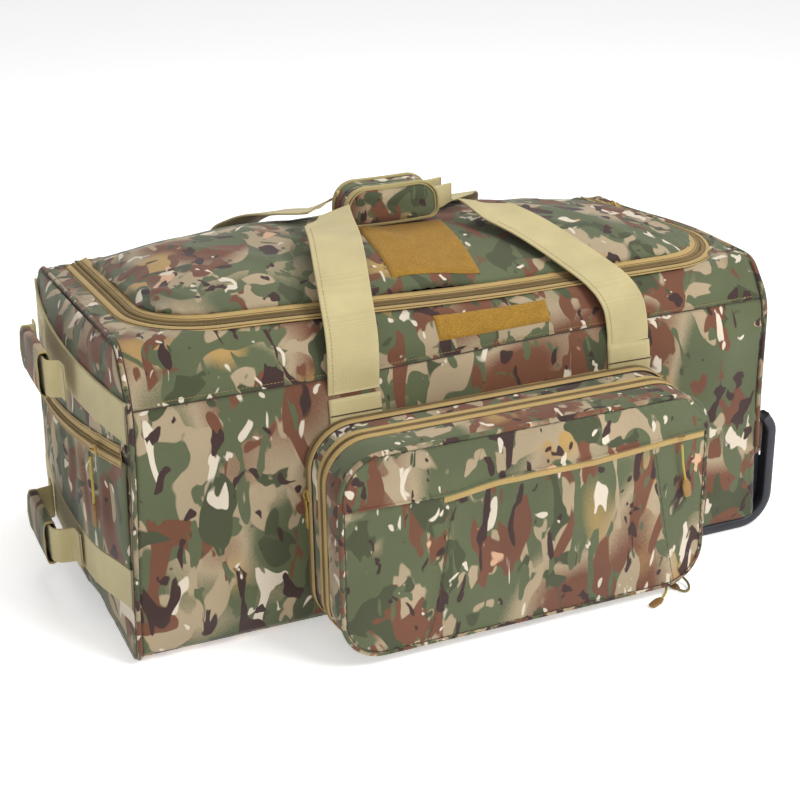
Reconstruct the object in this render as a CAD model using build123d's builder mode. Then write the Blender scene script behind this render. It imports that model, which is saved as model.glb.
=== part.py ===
"""Rolling duffel bag: a padded fabric shell over a moulded wheel base and a telescoping pull handle.

The long axis is X with the wheels at +X, the front pocket faces -Y, and the bag lies on Z = 0.
All sizes are in millimetres.
"""

from build123d import *
from math import pi, radians, tan
import os

os.makedirs("parts", exist_ok=True)

# ---- bag shell ---------------------------------------------------------------------------------
BAG_LENGTH = 800.0  # over the two end seams
BAG_WIDTH = 440.0
BASE_Z = 3.0  # underside of the fabric base
SIDE_Z = 40.0  # where the base panel turns into the side panels
SEAM_Z = 303.0  # seam between a side panel and the sloping top band
DECK_Z = 345.0  # top deck around the lid
TOP_INSET = 36.0  # how far the top band slopes inwards
CLOTH = 4.0  # padded fabric
HALF_L = BAG_LENGTH / 2
HALF_W = BAG_WIDTH / 2
PIPE = 2.8  # half the width of the end piping
WRAP_X = HALF_L - 2 * PIPE - 0.4  # half length of the panels that wrap round the bag
END_INSET = PIPE + 0.4  # how far an end panel stays inside the piping
END_CROWN = 22.0  # bulge of the stuffed left end
PLAY = 0.3  # gap between pieces that move past each other

# ---- lid ---------------------------------------------------------------------------------------
LID_LEFT = -358.0
LID_RIGHT = 378.0
LID_FRONT = -168.0
LID_BACK = 168.0
LID_CORNER = 62.0
LID_Z = DECK_Z + 1
LID_RIM = LID_Z + CLOTH
LID_TOP = 386.0
TAPE = 12.0  # half of the main zipper, from its coil to the cloth
ZIP_GAP = 1.0

# ---- carry straps ------------------------------------------------------------------------------
STRAP_W = 54.0
STRAP_T = 3.0
STRAP_Z = 280.0  # swing line, at the top of the sewn end
GRIP_Y = 14.5
LEFT_LEG = [(-141, 280.3, 223), (-141, 305, 223), (-140, 338, 217), (-138, 370, 203), (-130, 402, 168),
            (-116, 424, 110), (-104, 421, 52), (-100, 419, GRIP_Y)]
RIGHT_LEG = [(196, 280.3, 223), (194, 305, 222), (190, 335, 213), (178, 358, 188), (158, 381, 145),
             (130, 401, 95), (104, 414, 45), (98, 417, GRIP_Y)]

# ---- front pocket ------------------------------------------------------------------------------
POCKET_X = 20.0
POCKET_L = 440.0
POCKET_LOW = 16.0
POCKET_TOP = 250.0
POCKET_R = 42.0
POCKET_WALL = 3.0
POCKET_BACK = HALF_W + 0.3
POCKET_MID = 262.0  # divider between the two compartments
COVER_EDGE = 273.0  # meeting line of the two halves of the cover's zipper
COVER_BACK = 284.0
POCKET_FACE = 322.0
POCKET_FRONT = 326.0
COVER_Z = 24.0  # the cover's walls start above its fold

# ---- wheel base --------------------------------------------------------------------------------
WHEEL_R = 42.0
WHEEL_W = 26.0
WHEEL_X = 381.0
WHEEL_Z = 43.5
WHEEL_Y = 185.0
AXLE_R = 4.0
WELL_R = 47.0
WELL_INNER = 16.0  # half the inside width of a wheel well
WELL_WALL = 4.0
BASE_MOULD_X = 320.2
RAIL_X = 417.0
RAIL_T = 14.0
RAIL_R = 44.0
RAIL_Y = (205.2, 222.0)

# ---- pull handle -------------------------------------------------------------------------------
TUBE_Y = 85.0
TUBE_Z = 15.0
CUP_X = (-398.0, -344.0)
CUP_HALF = 112.0
CUP_Z = 30.0
CUP_WALL = 2.5
GRIP_X = (-396.0, -372.0)


def half_space(axis, low, high):
    """A large block between two values of one axis, for cutting pieces out of bigger shapes."""
    size = [4 * BAG_LENGTH] * 3
    centre = [0.0, 0.0, 0.0]
    size[axis] = high - low
    centre[axis] = (low + high) / 2
    return Pos(*centre) * Box(*size, mode=Mode.PRIVATE)


def save(piece, name):
    """Label a finished piece and write it."""
    piece.part.label = name
    export_step(piece.part, f"parts/{name}.step")


def block(x, y, z):
    """A plain box between two values on each axis."""
    centre = [(low + high) / 2 for low, high in (x, y, z)]
    return Pos(*centre) * Box(x[1] - x[0], y[1] - y[0], z[1] - z[0], mode=Mode.PRIVATE)


def bag_section(grow):
    """The bag's cross-section, grown all round."""
    with BuildSketch(Plane.YZ) as section:
        with BuildLine():
            Polyline(
                (-HALF_W, BASE_Z),
                (-HALF_W, SEAM_Z),
                (-HALF_W + TOP_INSET, DECK_Z),
                (HALF_W - TOP_INSET, DECK_Z),
                (HALF_W, SEAM_Z),
                (HALF_W, BASE_Z),
                close=True,
            )
        make_face()
        rows = section.vertices().group_by(Axis.Y)
        fillet(rows[2], radius=28)
        fillet(section.vertices().filter_by(lambda v: abs(v.Y - SEAM_Z) < 1), radius=60)
        fillet(section.vertices().group_by(Axis.Y)[0], radius=30)
        if grow:
            offset(amount=grow)
    return section.sketch


def section_block(grow, low, high):
    """The bag's cross-section run along X from low to high."""
    with BuildPart() as run:
        extrude(bag_section(grow), amount=high - low)
    return Pos(low, 0, 0) * run.part


RING = section_block(0, -WRAP_X, WRAP_X) - section_block(-CLOTH, -WRAP_X, WRAP_X)


def lid_plan(grow, low, high):
    """The lid's outline, grown on its three zipped sides only, run upwards from low to high."""
    with BuildPart() as plan:
        with BuildSketch(Plane.XY.offset(low)) as outline:
            with BuildLine():
                Polyline(
                    (LID_LEFT, LID_BACK + BAG_WIDTH),
                    (LID_LEFT, LID_FRONT),
                    (LID_RIGHT, LID_FRONT),
                    (LID_RIGHT, LID_BACK + BAG_WIDTH),
                    close=True,
                )
            make_face()
            fillet(outline.vertices().group_by(Axis.Y)[0], radius=LID_CORNER)
            if grow:
                offset(amount=grow)
        extrude(amount=high - low)
    return plan.part


def lid_crown(shift, base):
    """Everything under the lid's crowned top, moved up by shift, down to base."""
    width = LID_BACK + 2
    rise = LID_TOP + shift
    rim = LID_RIM + shift
    with BuildPart() as crown:
        with BuildSketch(Plane.YZ) as across:
            with BuildLine():
                ThreePointArc((-width, rim), (0, rise), (width, rim))
                Polyline((width, rim), (width, base), (-width, base), (-width, rim))
            make_face()
        extrude(across.sketch, amount=HALF_L, both=True)
        with BuildSketch(Plane.XZ) as along:
            with BuildLine():
                left = TangentArc((-270, rise + 0.5), (LID_LEFT, rim), tangent=(-1, 0))
                right = TangentArc((190, rise + 0.5), (LID_RIGHT, rim), tangent=(1, 0))
                Line(left @ 0, right @ 0)
                Polyline(right @ 1, (LID_RIGHT, base), (LID_LEFT, base), left @ 1)
            make_face()
        extrude(along.sketch, amount=HALF_W, both=True, mode=Mode.INTERSECT)
    return crown.part


def end_bulge(proud, inner):
    """Everything inside the left end's bulged surface, moved outwards by proud, from the plane inner."""
    edge = -HALF_L - proud
    peak = edge - END_CROWN
    side = HALF_W
    low = BASE_Z
    with BuildPart() as bulge:
        with BuildSketch(Plane.XY) as across:
            with BuildLine():
                ThreePointArc((edge, -side), (peak, 0), (edge, side))
                Polyline((edge, side), (inner, side), (inner, -side), (edge, -side))
            make_face()
        extrude(across.sketch, amount=BAG_WIDTH)
        with BuildSketch(Plane.XZ) as upright:
            with BuildLine():
                top = TangentArc((peak - 0.5, DECK_Z - 57), (edge, DECK_Z), tangent=(0, 1))
                bottom = TangentArc((peak - 0.5, low + 67), (edge, low), tangent=(0, -1))
                Line(top @ 0, bottom @ 0)
                Polyline(top @ 1, (inner, DECK_Z), (inner, low), bottom @ 1)
            make_face()
        extrude(upright.sketch, amount=HALF_W, both=True, mode=Mode.INTERSECT)
    return bulge.part


def pocket_plan(grow, back, front):
    """The front pocket's rounded outline, grown all round, run forwards from back to front."""
    height = POCKET_TOP - POCKET_LOW
    with BuildPart() as plan:
        with BuildSketch(Plane.XZ.offset(back)) as outline:
            with Locations((POCKET_X, POCKET_LOW + height / 2)):
                RectangleRounded(POCKET_L + 2 * grow, height + 2 * grow, POCKET_R + grow)
        extrude(outline.sketch, amount=front - back)
    return plan.part


def pocket_ring(outer, inner, back, front):
    """A band of the pocket's gusset."""
    return pocket_plan(outer, back, front) - pocket_plan(inner, back - 1, front + 1)


# ---- shell panels ------------------------------------------------------------------------------
CUP_CUT = block((-2 * HALF_L, CUP_X[1] + 0.2), (-CUP_HALF - 0.2, CUP_HALF + 0.2), (-5, CUP_Z + 0.2))
MOULD_CUT = block((BASE_MOULD_X - 0.2, 2 * HALF_L), (-RAIL_Y[0], RAIL_Y[0]), (-5, SIDE_Z))

with BuildPart() as base_panel:
    add(RING & half_space(2, -5, SIDE_Z))
    add(CUP_CUT, mode=Mode.SUBTRACT)
    add(MOULD_CUT, mode=Mode.SUBTRACT)
save(base_panel, "base_panel")

with BuildPart() as front_panel:
    add(RING & half_space(2, SIDE_Z, SEAM_Z) & half_space(1, -BAG_WIDTH, 0))
save(front_panel, "front_panel")

with BuildPart() as back_panel:
    add(RING & half_space(2, SIDE_Z, SEAM_Z) & half_space(1, 0, BAG_WIDTH))
save(back_panel, "back_panel")

HINGE_SIDE = half_space(1, -BAG_WIDTH, LID_BACK + 4)
with BuildPart() as top_band:
    add(RING & half_space(2, SEAM_Z, DECK_Z + 5))
    add(lid_plan(TAPE, SEAM_Z, DECK_Z + 5) & HINGE_SIDE, mode=Mode.SUBTRACT)
save(top_band, "top_band")

with BuildPart() as left_end_panel:
    add(end_bulge(0, -HALF_L + CLOTH) - end_bulge(-CLOTH, -HALF_L + 2 * CLOTH))
    add(section_block(-END_INSET, -HALF_L - 60, -HALF_L + 20), mode=Mode.INTERSECT)
    add(CUP_CUT, mode=Mode.SUBTRACT)
save(left_end_panel, "left_end_panel")

PLATE_TOP = 112.0
with BuildPart() as right_end_panel:
    add(section_block(-END_INSET, HALF_L - CLOTH, HALF_L) & half_space(2, 100, 400))
save(right_end_panel, "right_end_panel")

with BuildPart() as end_piping:
    for low, floor in ((-WRAP_X - 0.2 - 2 * PIPE, -5), (WRAP_X + 0.2, 104)):
        hoop = section_block(PIPE, low, low + 2 * PIPE) - section_block(-PIPE, low, low + 2 * PIPE)
        add(hoop & half_space(2, floor, 400))
    add(CUP_CUT, mode=Mode.SUBTRACT)
save(end_piping, "end_piping")

with BuildPart() as base_wear_panel:
    with Locations((-15, 0, BASE_Z / 2)):
        Box(630, 360, BASE_Z)
    fillet(base_wear_panel.edges().filter_by(Axis.Z), radius=25)
save(base_wear_panel, "base_wear_panel")

with BuildPart() as base_board:
    with Locations((-10, 0, 28)):
        Box(656, 392, 4)
    fillet(base_board.edges().filter_by(Axis.Z), radius=12)
save(base_board, "base_board")

# ---- main zipper and lid -----------------------------------------------------------------------
LID_SIDE = half_space(1, -BAG_WIDTH, LID_BACK)
with BuildPart() as deck_zip_tape:
    add((lid_plan(TAPE, DECK_Z - 2.2, DECK_Z) & LID_SIDE) - lid_plan(ZIP_GAP, 0, 500))
    add((lid_plan(ZIP_GAP + 3, DECK_Z, DECK_Z + 2) & LID_SIDE) - lid_plan(ZIP_GAP, 0, 500))
save(deck_zip_tape, "deck_zip_tape")

with BuildPart() as lid_zip_tape:
    add((lid_plan(-ZIP_GAP, LID_Z, LID_Z + 2) - lid_plan(-TAPE, 0, 500)) & LID_SIDE)
save(lid_zip_tape, "lid_zip_tape")

with BuildPart() as lid_panel:
    lid_area = lid_plan(-TAPE, LID_Z - 1, LID_TOP + 5) & LID_SIDE
    add((lid_crown(0, LID_Z) & lid_area) - lid_crown(-CLOTH, LID_Z - 10))
save(lid_panel, "lid_panel")

with BuildPart() as lid_patch:
    patch_area = block((-60, 52), (-140, -8), (LID_Z + 8, LID_TOP + 9))
    add((lid_crown(1.8, LID_Z) & patch_area) - lid_crown(0.1, LID_Z - 1))
save(lid_patch, "lid_patch")

SLOPE = Plane(origin=(30, -201.2, 326.2), x_dir=(1, 0, 0), z_dir=(0, SEAM_Z - DECK_Z, TOP_INSET))
with BuildPart() as name_strip:
    with BuildSketch(SLOPE):
        RectangleRounded(140, 27, 2)
    extrude(amount=1.6)
save(name_strip, "name_strip")

with BuildPart() as lid_slider:
    add(block((LID_RIGHT + 1.6, LID_RIGHT + 11), (100, 118), (DECK_Z + 0.3 + 2, DECK_Z + 6)))
    add(block((LID_RIGHT + 4.5, LID_RIGHT + 11), (100, 118), (DECK_Z + 0.3, DECK_Z + 6)))
    add(block((LID_RIGHT + 4.8, LID_RIGHT + 10), (66, 101), (DECK_Z + 0.8, DECK_Z + 2.8)))
save(lid_slider, "lid_slider")

# ---- left end: bands, grab handles and pocket --------------------------------------------------
BANDS = ((262.0, 310.0), (55.0, 103.0))
HANDLE_HALF = 62.0
HANDLE_OUT = -455.0
HANDLE_ROOT = -414.0  # inside the end panel, so that each leg is cut to its surface
BAND_T = 2.0
END_LAYER = 0.1

with BuildPart() as end_bands:
    for low, high in BANDS:
        area = block((-500, -380), (-208, 208), (low, high))
        add((end_bulge(END_LAYER + BAND_T, -HALF_L) & area) - end_bulge(END_LAYER, -HALF_L + 20))
save(end_bands, "end_bands")

with BuildPart() as grab_handles:
    for low, high in BANDS:
        with BuildSketch(Plane.XY.offset(low + 2)) as loop:
            with BuildLine() as route:
                FilletPolyline(
                    (HANDLE_ROOT, -HANDLE_HALF),
                    (HANDLE_OUT, -HANDLE_HALF),
                    (HANDLE_OUT, HANDLE_HALF),
                    (HANDLE_ROOT, HANDLE_HALF),
                    radius=12,
                )
            trace(line_width=2.5)
        extrude(loop.sketch, amount=high - low - 4)
    add(end_bulge(END_LAYER + BAND_T + 0.1, 0), mode=Mode.SUBTRACT)
save(grab_handles, "grab_handles")


def grab_roll(height):
    """The padded roll of one grab handle, centred at that height."""
    with BuildPart() as roll:
        with Locations((HANDLE_OUT, 0, height)):
            Box(12, 92, 50)
        fillet(roll.edges().filter_by(Axis.Y), radius=5)
    return roll.part


with BuildPart() as grab_wraps:
    for low, high in BANDS:
        add(grab_roll((low + high) / 2))
    for low, high in BANDS:
        add(block((HANDLE_OUT - 1.25, HANDLE_OUT + 1.25), (-60, 60), (low + 2, high - 2)), mode=Mode.SUBTRACT)
save(grab_wraps, "grab_wraps")

END_ZIP_SLOPE = -0.14  # the pocket's zipper falls away towards the back
END_ARC_R = (HALF_W**2 + END_CROWN**2) / (2 * END_CROWN)  # plan radius of the bulged end
END_ARC_X = END_ARC_R - HALF_L - END_CROWN
END_ZIP_Z = 216.3  # height of the zipper at the middle of the end
with BuildPart() as end_pocket:
    area = block((-500, -380), (-204, 204), (108, 258))
    add((end_bulge(END_LAYER + 3, -HALF_L) & area) - end_bulge(END_LAYER, -HALF_L + 20))
save(end_pocket, "end_pocket")

with BuildPart() as end_zip:
    along_zip = Plane(origin=(-415, -5, 217), x_dir=(1, 0, 0), z_dir=(0, -END_ZIP_SLOPE, 1))
    strip = along_zip * Box(120, 350, 22, mode=Mode.PRIVATE)
    add((end_bulge(END_LAYER + 5, -HALF_L) & strip) - end_bulge(END_LAYER + 3.1, -HALF_L + 20))
save(end_zip, "end_zip")

END_SLIDER_TURN = 8.3  # degrees round the end's arc from its middle to the parked slider
END_SLIDER_X = END_ARC_X - END_ARC_R - END_LAYER - 5.8
with BuildPart() as end_slider:
    slider_body = block((END_SLIDER_X - 4.5, END_SLIDER_X), (-7, 7), (END_ZIP_Z - 5, END_ZIP_Z + 5))
    slide_arc = Axis((END_ARC_X, 0, END_ZIP_Z), (0, -END_ZIP_SLOPE, 1))
    add(slider_body.rotate(slide_arc, END_SLIDER_TURN))
save(end_slider, "end_slider")

# ---- carry straps ------------------------------------------------------------------------------
def strap_leg(stations, side):
    """One webbing leg as a run of flat slabs; side is -1 at the front and 1 at the back."""
    points = [Vector(x, side * y, z) for x, z, y in stations]
    with BuildPart() as leg:
        for index, point in enumerate(points):
            before = points[max(index - 1, 0)]
            after = points[min(index + 1, len(points) - 1)]
            along = Vector(0, after.Y - before.Y, after.Z - before.Z)
            with BuildSketch(Plane(origin=point, x_dir=(1, 0, 0), z_dir=along)):
                Rectangle(STRAP_W, STRAP_T)
        loft(ruled=True)
    return leg.part


def strap(side):
    """Both legs and the folded grip bar of one carry strap."""
    bar_y = sorted((side * (GRIP_Y - 2.5), side * (GRIP_Y + 2.5)))
    bar = block((-127, 125), bar_y, (402, 433))
    return strap_leg(LEFT_LEG, side) + strap_leg(RIGHT_LEG, side) + bar


def wrap(side):
    """Half of the padded grip that closes round both straps."""
    with BuildPart() as pad:
        with BuildSketch(Plane.XZ.offset(-0.4 if side > 0 else 0.4)) as face:
            with Locations((-9, 419)):
                RectangleRounded(120, 44, 16)
        extrude(face.sketch, amount=-side * 30)
        fillet(pad.faces().sort_by(Axis.Y)[-1 if side > 0 else 0].edges(), radius=6)
        bar_y = sorted((side * (GRIP_Y - 2.5), side * (GRIP_Y + 2.5)))
        add(block((-130, 130), bar_y, (402, 433)), mode=Mode.SUBTRACT)
    return pad.part


def strap_bases(side):
    """The sewn ends of one carry strap, flat on the side panel."""
    y = sorted((side * (HALF_W + 0.1), side * (HALF_W + 2.1)))
    left = block((-141 - STRAP_W / 2, -141 + STRAP_W / 2), y, (POCKET_TOP + 2, STRAP_Z - 0.7))
    right = block((196 - STRAP_W / 2, 196 + STRAP_W / 2), y, (POCKET_TOP + 2, STRAP_Z - 0.7))
    return left + right


for side, face in ((-1, "front"), (1, "back")):
    with BuildPart() as carry_strap:
        add(strap(side))
    save(carry_strap, f"{face}_strap")
    with BuildPart() as grip_wrap:
        add(wrap(side) - strap_leg(LEFT_LEG, side) - strap_leg(RIGHT_LEG, side))
    save(grip_wrap, f"{face}_grip_wrap")
    with BuildPart() as sewn_ends:
        add(strap_bases(side))
    save(sewn_ends, f"{face}_strap_ends")

# ---- front pocket ------------------------------------------------------------------------------
SLIT = block((POCKET_X - POCKET_L / 2 - 10, POCKET_X - POCKET_L / 2 + 10), (-233, -227), (60, 150))
WALLS = half_space(2, COVER_Z, 400)

with BuildPart() as pocket_base:
    add(pocket_ring(0, -POCKET_WALL, POCKET_BACK, POCKET_MID))
    add(pocket_plan(0, POCKET_MID - POCKET_WALL, POCKET_MID))
    flap_x = (POCKET_X - 170, POCKET_X + 170)
    add(block(flap_x, (-POCKET_FACE + 2, -POCKET_MID), (POCKET_LOW, POCKET_LOW + 3)))
    add(SLIT, mode=Mode.SUBTRACT)
save(pocket_base, "pocket_base")

with BuildPart() as pocket_rear_zip:
    add(pocket_ring(1.6, 0.1, HALF_W + 4, HALF_W + 22) & half_space(2, 44, 400))
    add(SLIT, mode=Mode.SUBTRACT)
save(pocket_rear_zip, "pocket_rear_zip")

with BuildPart() as pocket_zip_fixed:
    add(pocket_ring(0, -2, POCKET_MID, COVER_EDGE - PLAY) & WALLS)
save(pocket_zip_fixed, "pocket_zip_fixed")

with BuildPart() as pocket_zip_cover:
    add(pocket_ring(0, -2, COVER_EDGE + PLAY, COVER_BACK) & WALLS)
save(pocket_zip_cover, "pocket_zip_cover")

with BuildPart() as pocket_cover:
    add(pocket_ring(0, -POCKET_WALL, COVER_BACK, POCKET_FACE) & WALLS)
    add(pocket_plan(0, POCKET_FACE, POCKET_FRONT) & half_space(2, POCKET_LOW + 3.8, 400))
save(pocket_cover, "pocket_cover")

with BuildPart() as pocket_piping:
    add(pocket_ring(2.5, 0.1, POCKET_FACE - 1, POCKET_FRONT + 1) & WALLS)
save(pocket_piping, "pocket_piping")

FACE_ZIP_X = (-182.0, 224.0)
FACE_ZIP_Z = 203.0
with BuildPart() as face_zip:
    add(block(FACE_ZIP_X, (-POCKET_FRONT - 2.1, -POCKET_FRONT - 0.1), (FACE_ZIP_Z - 8, FACE_ZIP_Z + 8)))
save(face_zip, "face_zip")

with BuildPart() as face_slider:
    add(block((200, 210), (-POCKET_FRONT - 7.5, -POCKET_FRONT - 2.4), (FACE_ZIP_Z - 6, FACE_ZIP_Z + 7)))
save(face_slider, "face_slider")

SIDE_ZIP_X = POCKET_X - POCKET_L / 2 - 2.0
with BuildPart() as gusset_slider:
    add(block((SIDE_ZIP_X - 4.5, SIDE_ZIP_X), (-238, -228), (165, 183)))
    add(block((SIDE_ZIP_X - 3.5, SIDE_ZIP_X - 1.5), (-237, -229), (132, 166)))
save(gusset_slider, "gusset_slider")

with BuildPart() as lower_sliders:
    for x in (208, 231):
        add(block((x - 6, x + 6), (-300, -289), (POCKET_LOW - 5.6, POCKET_LOW - 0.4)))
save(lower_sliders, "lower_sliders")

# ---- zipper pull cords -------------------------------------------------------------------------
CORD_D = 3.0


def cord_radii(points):
    """Arc radius at each inner point: 0.45 of the shorter run over the tangent of half the turn."""
    radii = []
    for before, here, after in zip(points, points[1:], points[2:]):
        into = here - before
        out = after - here
        turn = into.get_angle(out)
        radii.append(0.45 * min(into.length, out.length) / tan(radians(turn / 2)))
    return radii


def cord(points, name):
    """A round cord along runs joined by tangent arcs."""
    points = [Vector(*p) for p in points]
    radii = cord_radii(points)
    with BuildLine() as route:
        FilletPolyline(*points, radius=radii)
    path = route.wires()[0]
    with BuildPart() as tube:
        with BuildSketch(Plane(origin=path @ 0, z_dir=path % 0)):
            Circle(CORD_D / 2)
        sweep(path=path)
    expected = pi * (CORD_D / 2) ** 2 * path.length
    print(name, "radii", [round(r, 1) for r in radii], "length", round(path.length, 1), "volume ratio",
          round(tube.part.volume / expected, 3))
    save(tube, name)


END_CORD = [(-421.6, -163, 232), (-422.2, -163.5, 214), (-421.6, -164.5, 194), (-422.2, -162.5, 176)]
FACE_CORD = [(203, -335.3, 196), (204.4, -335.6, 182), (206.4, -335.3, 167), (210.2, -335.6, 152)]
LOWER_CORD_A = [(208, -301.7, 10), (207, -312, 7.6), (203, -321, 4.8), (196, -328.5, 3.2), (188, -334, 2.2)]
LOWER_CORD_B = [(231, -301.7, 10), (234, -312, 7.2), (233, -323, 4.4), (226, -331.5, 2.8), (219, -328, 2.5),
                (218, -321, 2.4)]
cord(END_CORD, "end_pull_cord")
cord(FACE_CORD, "face_pull_cord")
cord(LOWER_CORD_A, "lower_pull_cord_a")
cord(LOWER_CORD_B, "lower_pull_cord_b")


def pull_tab(start, along, across, length, width, thick, name):
    """A moulded zipper tab that starts at the end of its cord."""
    with BuildPart() as tab:
        with BuildSketch(Plane(origin=start, x_dir=across, z_dir=along)):
            RectangleRounded(width, thick, thick / 3)
        extrude(amount=length)
    save(tab, name)


pull_tab((-422.2, -162.4, 175.7), (0, 0.1, -1), (0, 1, 0), 30, 11, 5, "end_pull_tab")
pull_tab((210.3, -335.6, 151.5), (0.2, 0, -1), (1, 0, 0), 24, 11, 5, "face_pull_tab")
pull_tab((186.9, -334.6, 3.1), (-1, -0.5, 0), (-0.5, 1, 0), 24, 11, 5, "lower_pull_tab_a")
pull_tab((217.9, -320.3, 3.1), (-0.14, 1, 0), (1, 0.14, 0), 20, 11, 5, "lower_pull_tab_b")

# ---- wheel base --------------------------------------------------------------------------------
def disc(radius, low, high, x, z):
    """A cylinder across the bag."""
    with BuildPart() as drum:
        with BuildSketch(Plane.XZ.offset(-high)) as face:
            with Locations((x, z)):
                Circle(radius)
        extrude(face.sketch, amount=high - low)
    return drum.part


with BuildPart() as wheel_base:
    add(block((BASE_MOULD_X, 404.2), (-RAIL_Y[0], RAIL_Y[0]), (BASE_Z, BASE_Z + 4)))
    add(block((400.2, 404.2), (-RAIL_Y[0], RAIL_Y[0]), (BASE_Z, PLATE_TOP)))
    for side in (-1, 1):
        mid = side * WHEEL_Y
        half = WELL_INNER + WELL_WALL
        drum = disc(WELL_R + WELL_WALL, mid - half, mid + half, WHEEL_X, WHEEL_Z)
        add(drum & block((300, 412), (-HALF_W, HALF_W), (BASE_Z, 200)))
    for side in (-1, 1):
        mid = side * WHEEL_Y
        add(disc(WELL_R, mid - WELL_INNER, mid + WELL_INNER, WHEEL_X, WHEEL_Z), mode=Mode.SUBTRACT)
        add(disc(AXLE_R, mid - 21, mid + 21, WHEEL_X, WHEEL_Z), mode=Mode.SUBTRACT)
    for x in (335.0, 350.0):
        for y in (-120.0, -40.0, 40.0, 120.0):
            with Locations((x, y, BASE_Z + 2)):
                Cylinder(1.75, 10, mode=Mode.SUBTRACT)
save(wheel_base, "wheel_base")

with BuildPart() as base_screws:
    for x in (335.0, 350.0):
        for y in (-120.0, -40.0, 40.0, 120.0):
            with Locations((x, y, BASE_Z + 2.5)):
                Cylinder(1.75, 5)
            with Locations((x, y, BASE_Z - 0.9)):
                Cylinder(3.5, 1.8)
save(base_screws, "base_screws")

with BuildPart() as wheel_axles:
    for side in (-1, 1):
        mid = side * WHEEL_Y
        inner = mid - side * 21.5
        outer = mid + side * 20
        add(disc(AXLE_R, min(inner, outer), max(inner, outer), WHEEL_X, WHEEL_Z))
        head = sorted((mid - side * 20.1, mid - side * 22.5))
        add(disc(7, head[0], head[1], WHEEL_X, WHEEL_Z))
save(wheel_axles, "wheel_axles")

for side, place in ((-1, "front"), (1, "back")):
    mid = side * WHEEL_Y
    with BuildPart() as hub:
        add(disc(WHEEL_R - 7, mid - 10, mid + 10, WHEEL_X, WHEEL_Z))
        add(disc(11, mid - 13, mid + 13, WHEEL_X, WHEEL_Z))
        for turn in range(5):
            spoke = Vector(0, 0, 22).rotate(Axis.Y, 72 * turn)
            add(disc(6.5, mid - 20, mid + 20, WHEEL_X + spoke.X, WHEEL_Z + spoke.Z), mode=Mode.SUBTRACT)
        add(disc(AXLE_R + 0.05, mid - 20, mid + 20, WHEEL_X, WHEEL_Z), mode=Mode.SUBTRACT)
    save(hub, f"wheel_hub_{place}")
    with BuildPart() as tyre:
        add(disc(WHEEL_R, mid - WHEEL_W / 2, mid + WHEEL_W / 2, WHEEL_X, WHEEL_Z))
        add(disc(WHEEL_R - 7, mid - WHEEL_W, mid + WHEEL_W, WHEEL_X, WHEEL_Z), mode=Mode.SUBTRACT)
        fillet(tyre.edges().filter_by(GeomType.CIRCLE).group_by(SortBy.RADIUS)[-1], radius=5)
    save(tyre, f"wheel_tyre_{place}")


def corner_rail(side):
    """One moulded rail: along the floor, round the lower corner and up the wheel end."""
    near, far = RAIL_Y
    with BuildPart() as rail:
        with BuildSketch(Plane.XZ.offset(near if side < 0 else -far)) as shape:
            with BuildLine():
                low = Line((60, 0), (RAIL_X - RAIL_R, 0))
                arc = TangentArc(low @ 1, (RAIL_X, RAIL_R), tangent=(1, 0))
                rise = Line(arc @ 1, (RAIL_X, 118))
                Polyline(rise @ 1, (RAIL_X - 13, 148), (RAIL_X - RAIL_T, 148), (RAIL_X - RAIL_T, RAIL_R))
                inner = TangentArc((RAIL_X - RAIL_T, RAIL_R), (RAIL_X - RAIL_R, RAIL_T), tangent=(0, -1))
                Polyline(inner @ 1, (60, RAIL_T), (60, 0))
            make_face()
        extrude(shape.sketch, amount=far - near)
    return rail.part


with BuildPart() as corner_rails:
    for side in (-1, 1):
        add(corner_rail(side))
    add(section_block(0.2, -WRAP_X, WRAP_X + 0.5), mode=Mode.SUBTRACT)
save(corner_rails, "corner_rails")

with BuildPart() as housing_cover:
    with BuildSketch(Plane.XZ.offset(-RAIL_Y[0] + 0.2)) as wedge:
        with BuildLine():
            Polyline(
                (400.3, 166),
                (416, 118),
                (416, 100),
                (404.6, 100),
                (404.6, PLATE_TOP + 0.3),
                (400.3, PLATE_TOP + 0.3),
                close=True,
            )
        make_face()
    extrude(wedge.sketch, amount=2 * RAIL_Y[0] - 0.4)
save(housing_cover, "housing_cover")


# ---- pull handle -------------------------------------------------------------------------------
def tube_pair(width, height, wall, low, high):
    """The left and right tubes of one stage."""
    with BuildPart() as pair:
        with BuildSketch(Plane.YZ.offset(low)) as rim:
            with Locations((-TUBE_Y, TUBE_Z), (TUBE_Y, TUBE_Z)):
                RectangleRounded(width, height, height * 0.3)
                RectangleRounded(width - 2 * wall, height - 2 * wall, height * 0.3 - wall, mode=Mode.SUBTRACT)
        extrude(rim.sketch, amount=high - low)
    return pair


save(tube_pair(24, 16, 1.0, CUP_X[1], 326), "outer_tubes")
save(tube_pair(21.4, 13.4, 1.1, CUP_X[1] - 2.5, 290), "middle_tubes")
save(tube_pair(18.6, 10.6, 1.2, GRIP_X[1], 280), "inner_tubes")

CUP_SIDE = CUP_HALF - CUP_WALL
CUP_ROOM = ((CUP_X[0] - 5, CUP_X[1] - CUP_WALL), (-CUP_SIDE, CUP_SIDE), (0, CUP_Z - CUP_WALL))

with BuildPart() as handle_cup:
    add(block(CUP_X, (-CUP_HALF, CUP_HALF), (BASE_Z, CUP_Z)))
    add(block(*CUP_ROOM), mode=Mode.SUBTRACT)
    with BuildSketch(Plane.YZ.offset(CUP_X[1] - 5)) as holes:
        with Locations((-TUBE_Y, TUBE_Z), (TUBE_Y, TUBE_Z)):
            RectangleRounded(22, 14, 3.8)
    extrude(holes.sketch, amount=10, mode=Mode.SUBTRACT)
save(handle_cup, "handle_cup")

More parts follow.
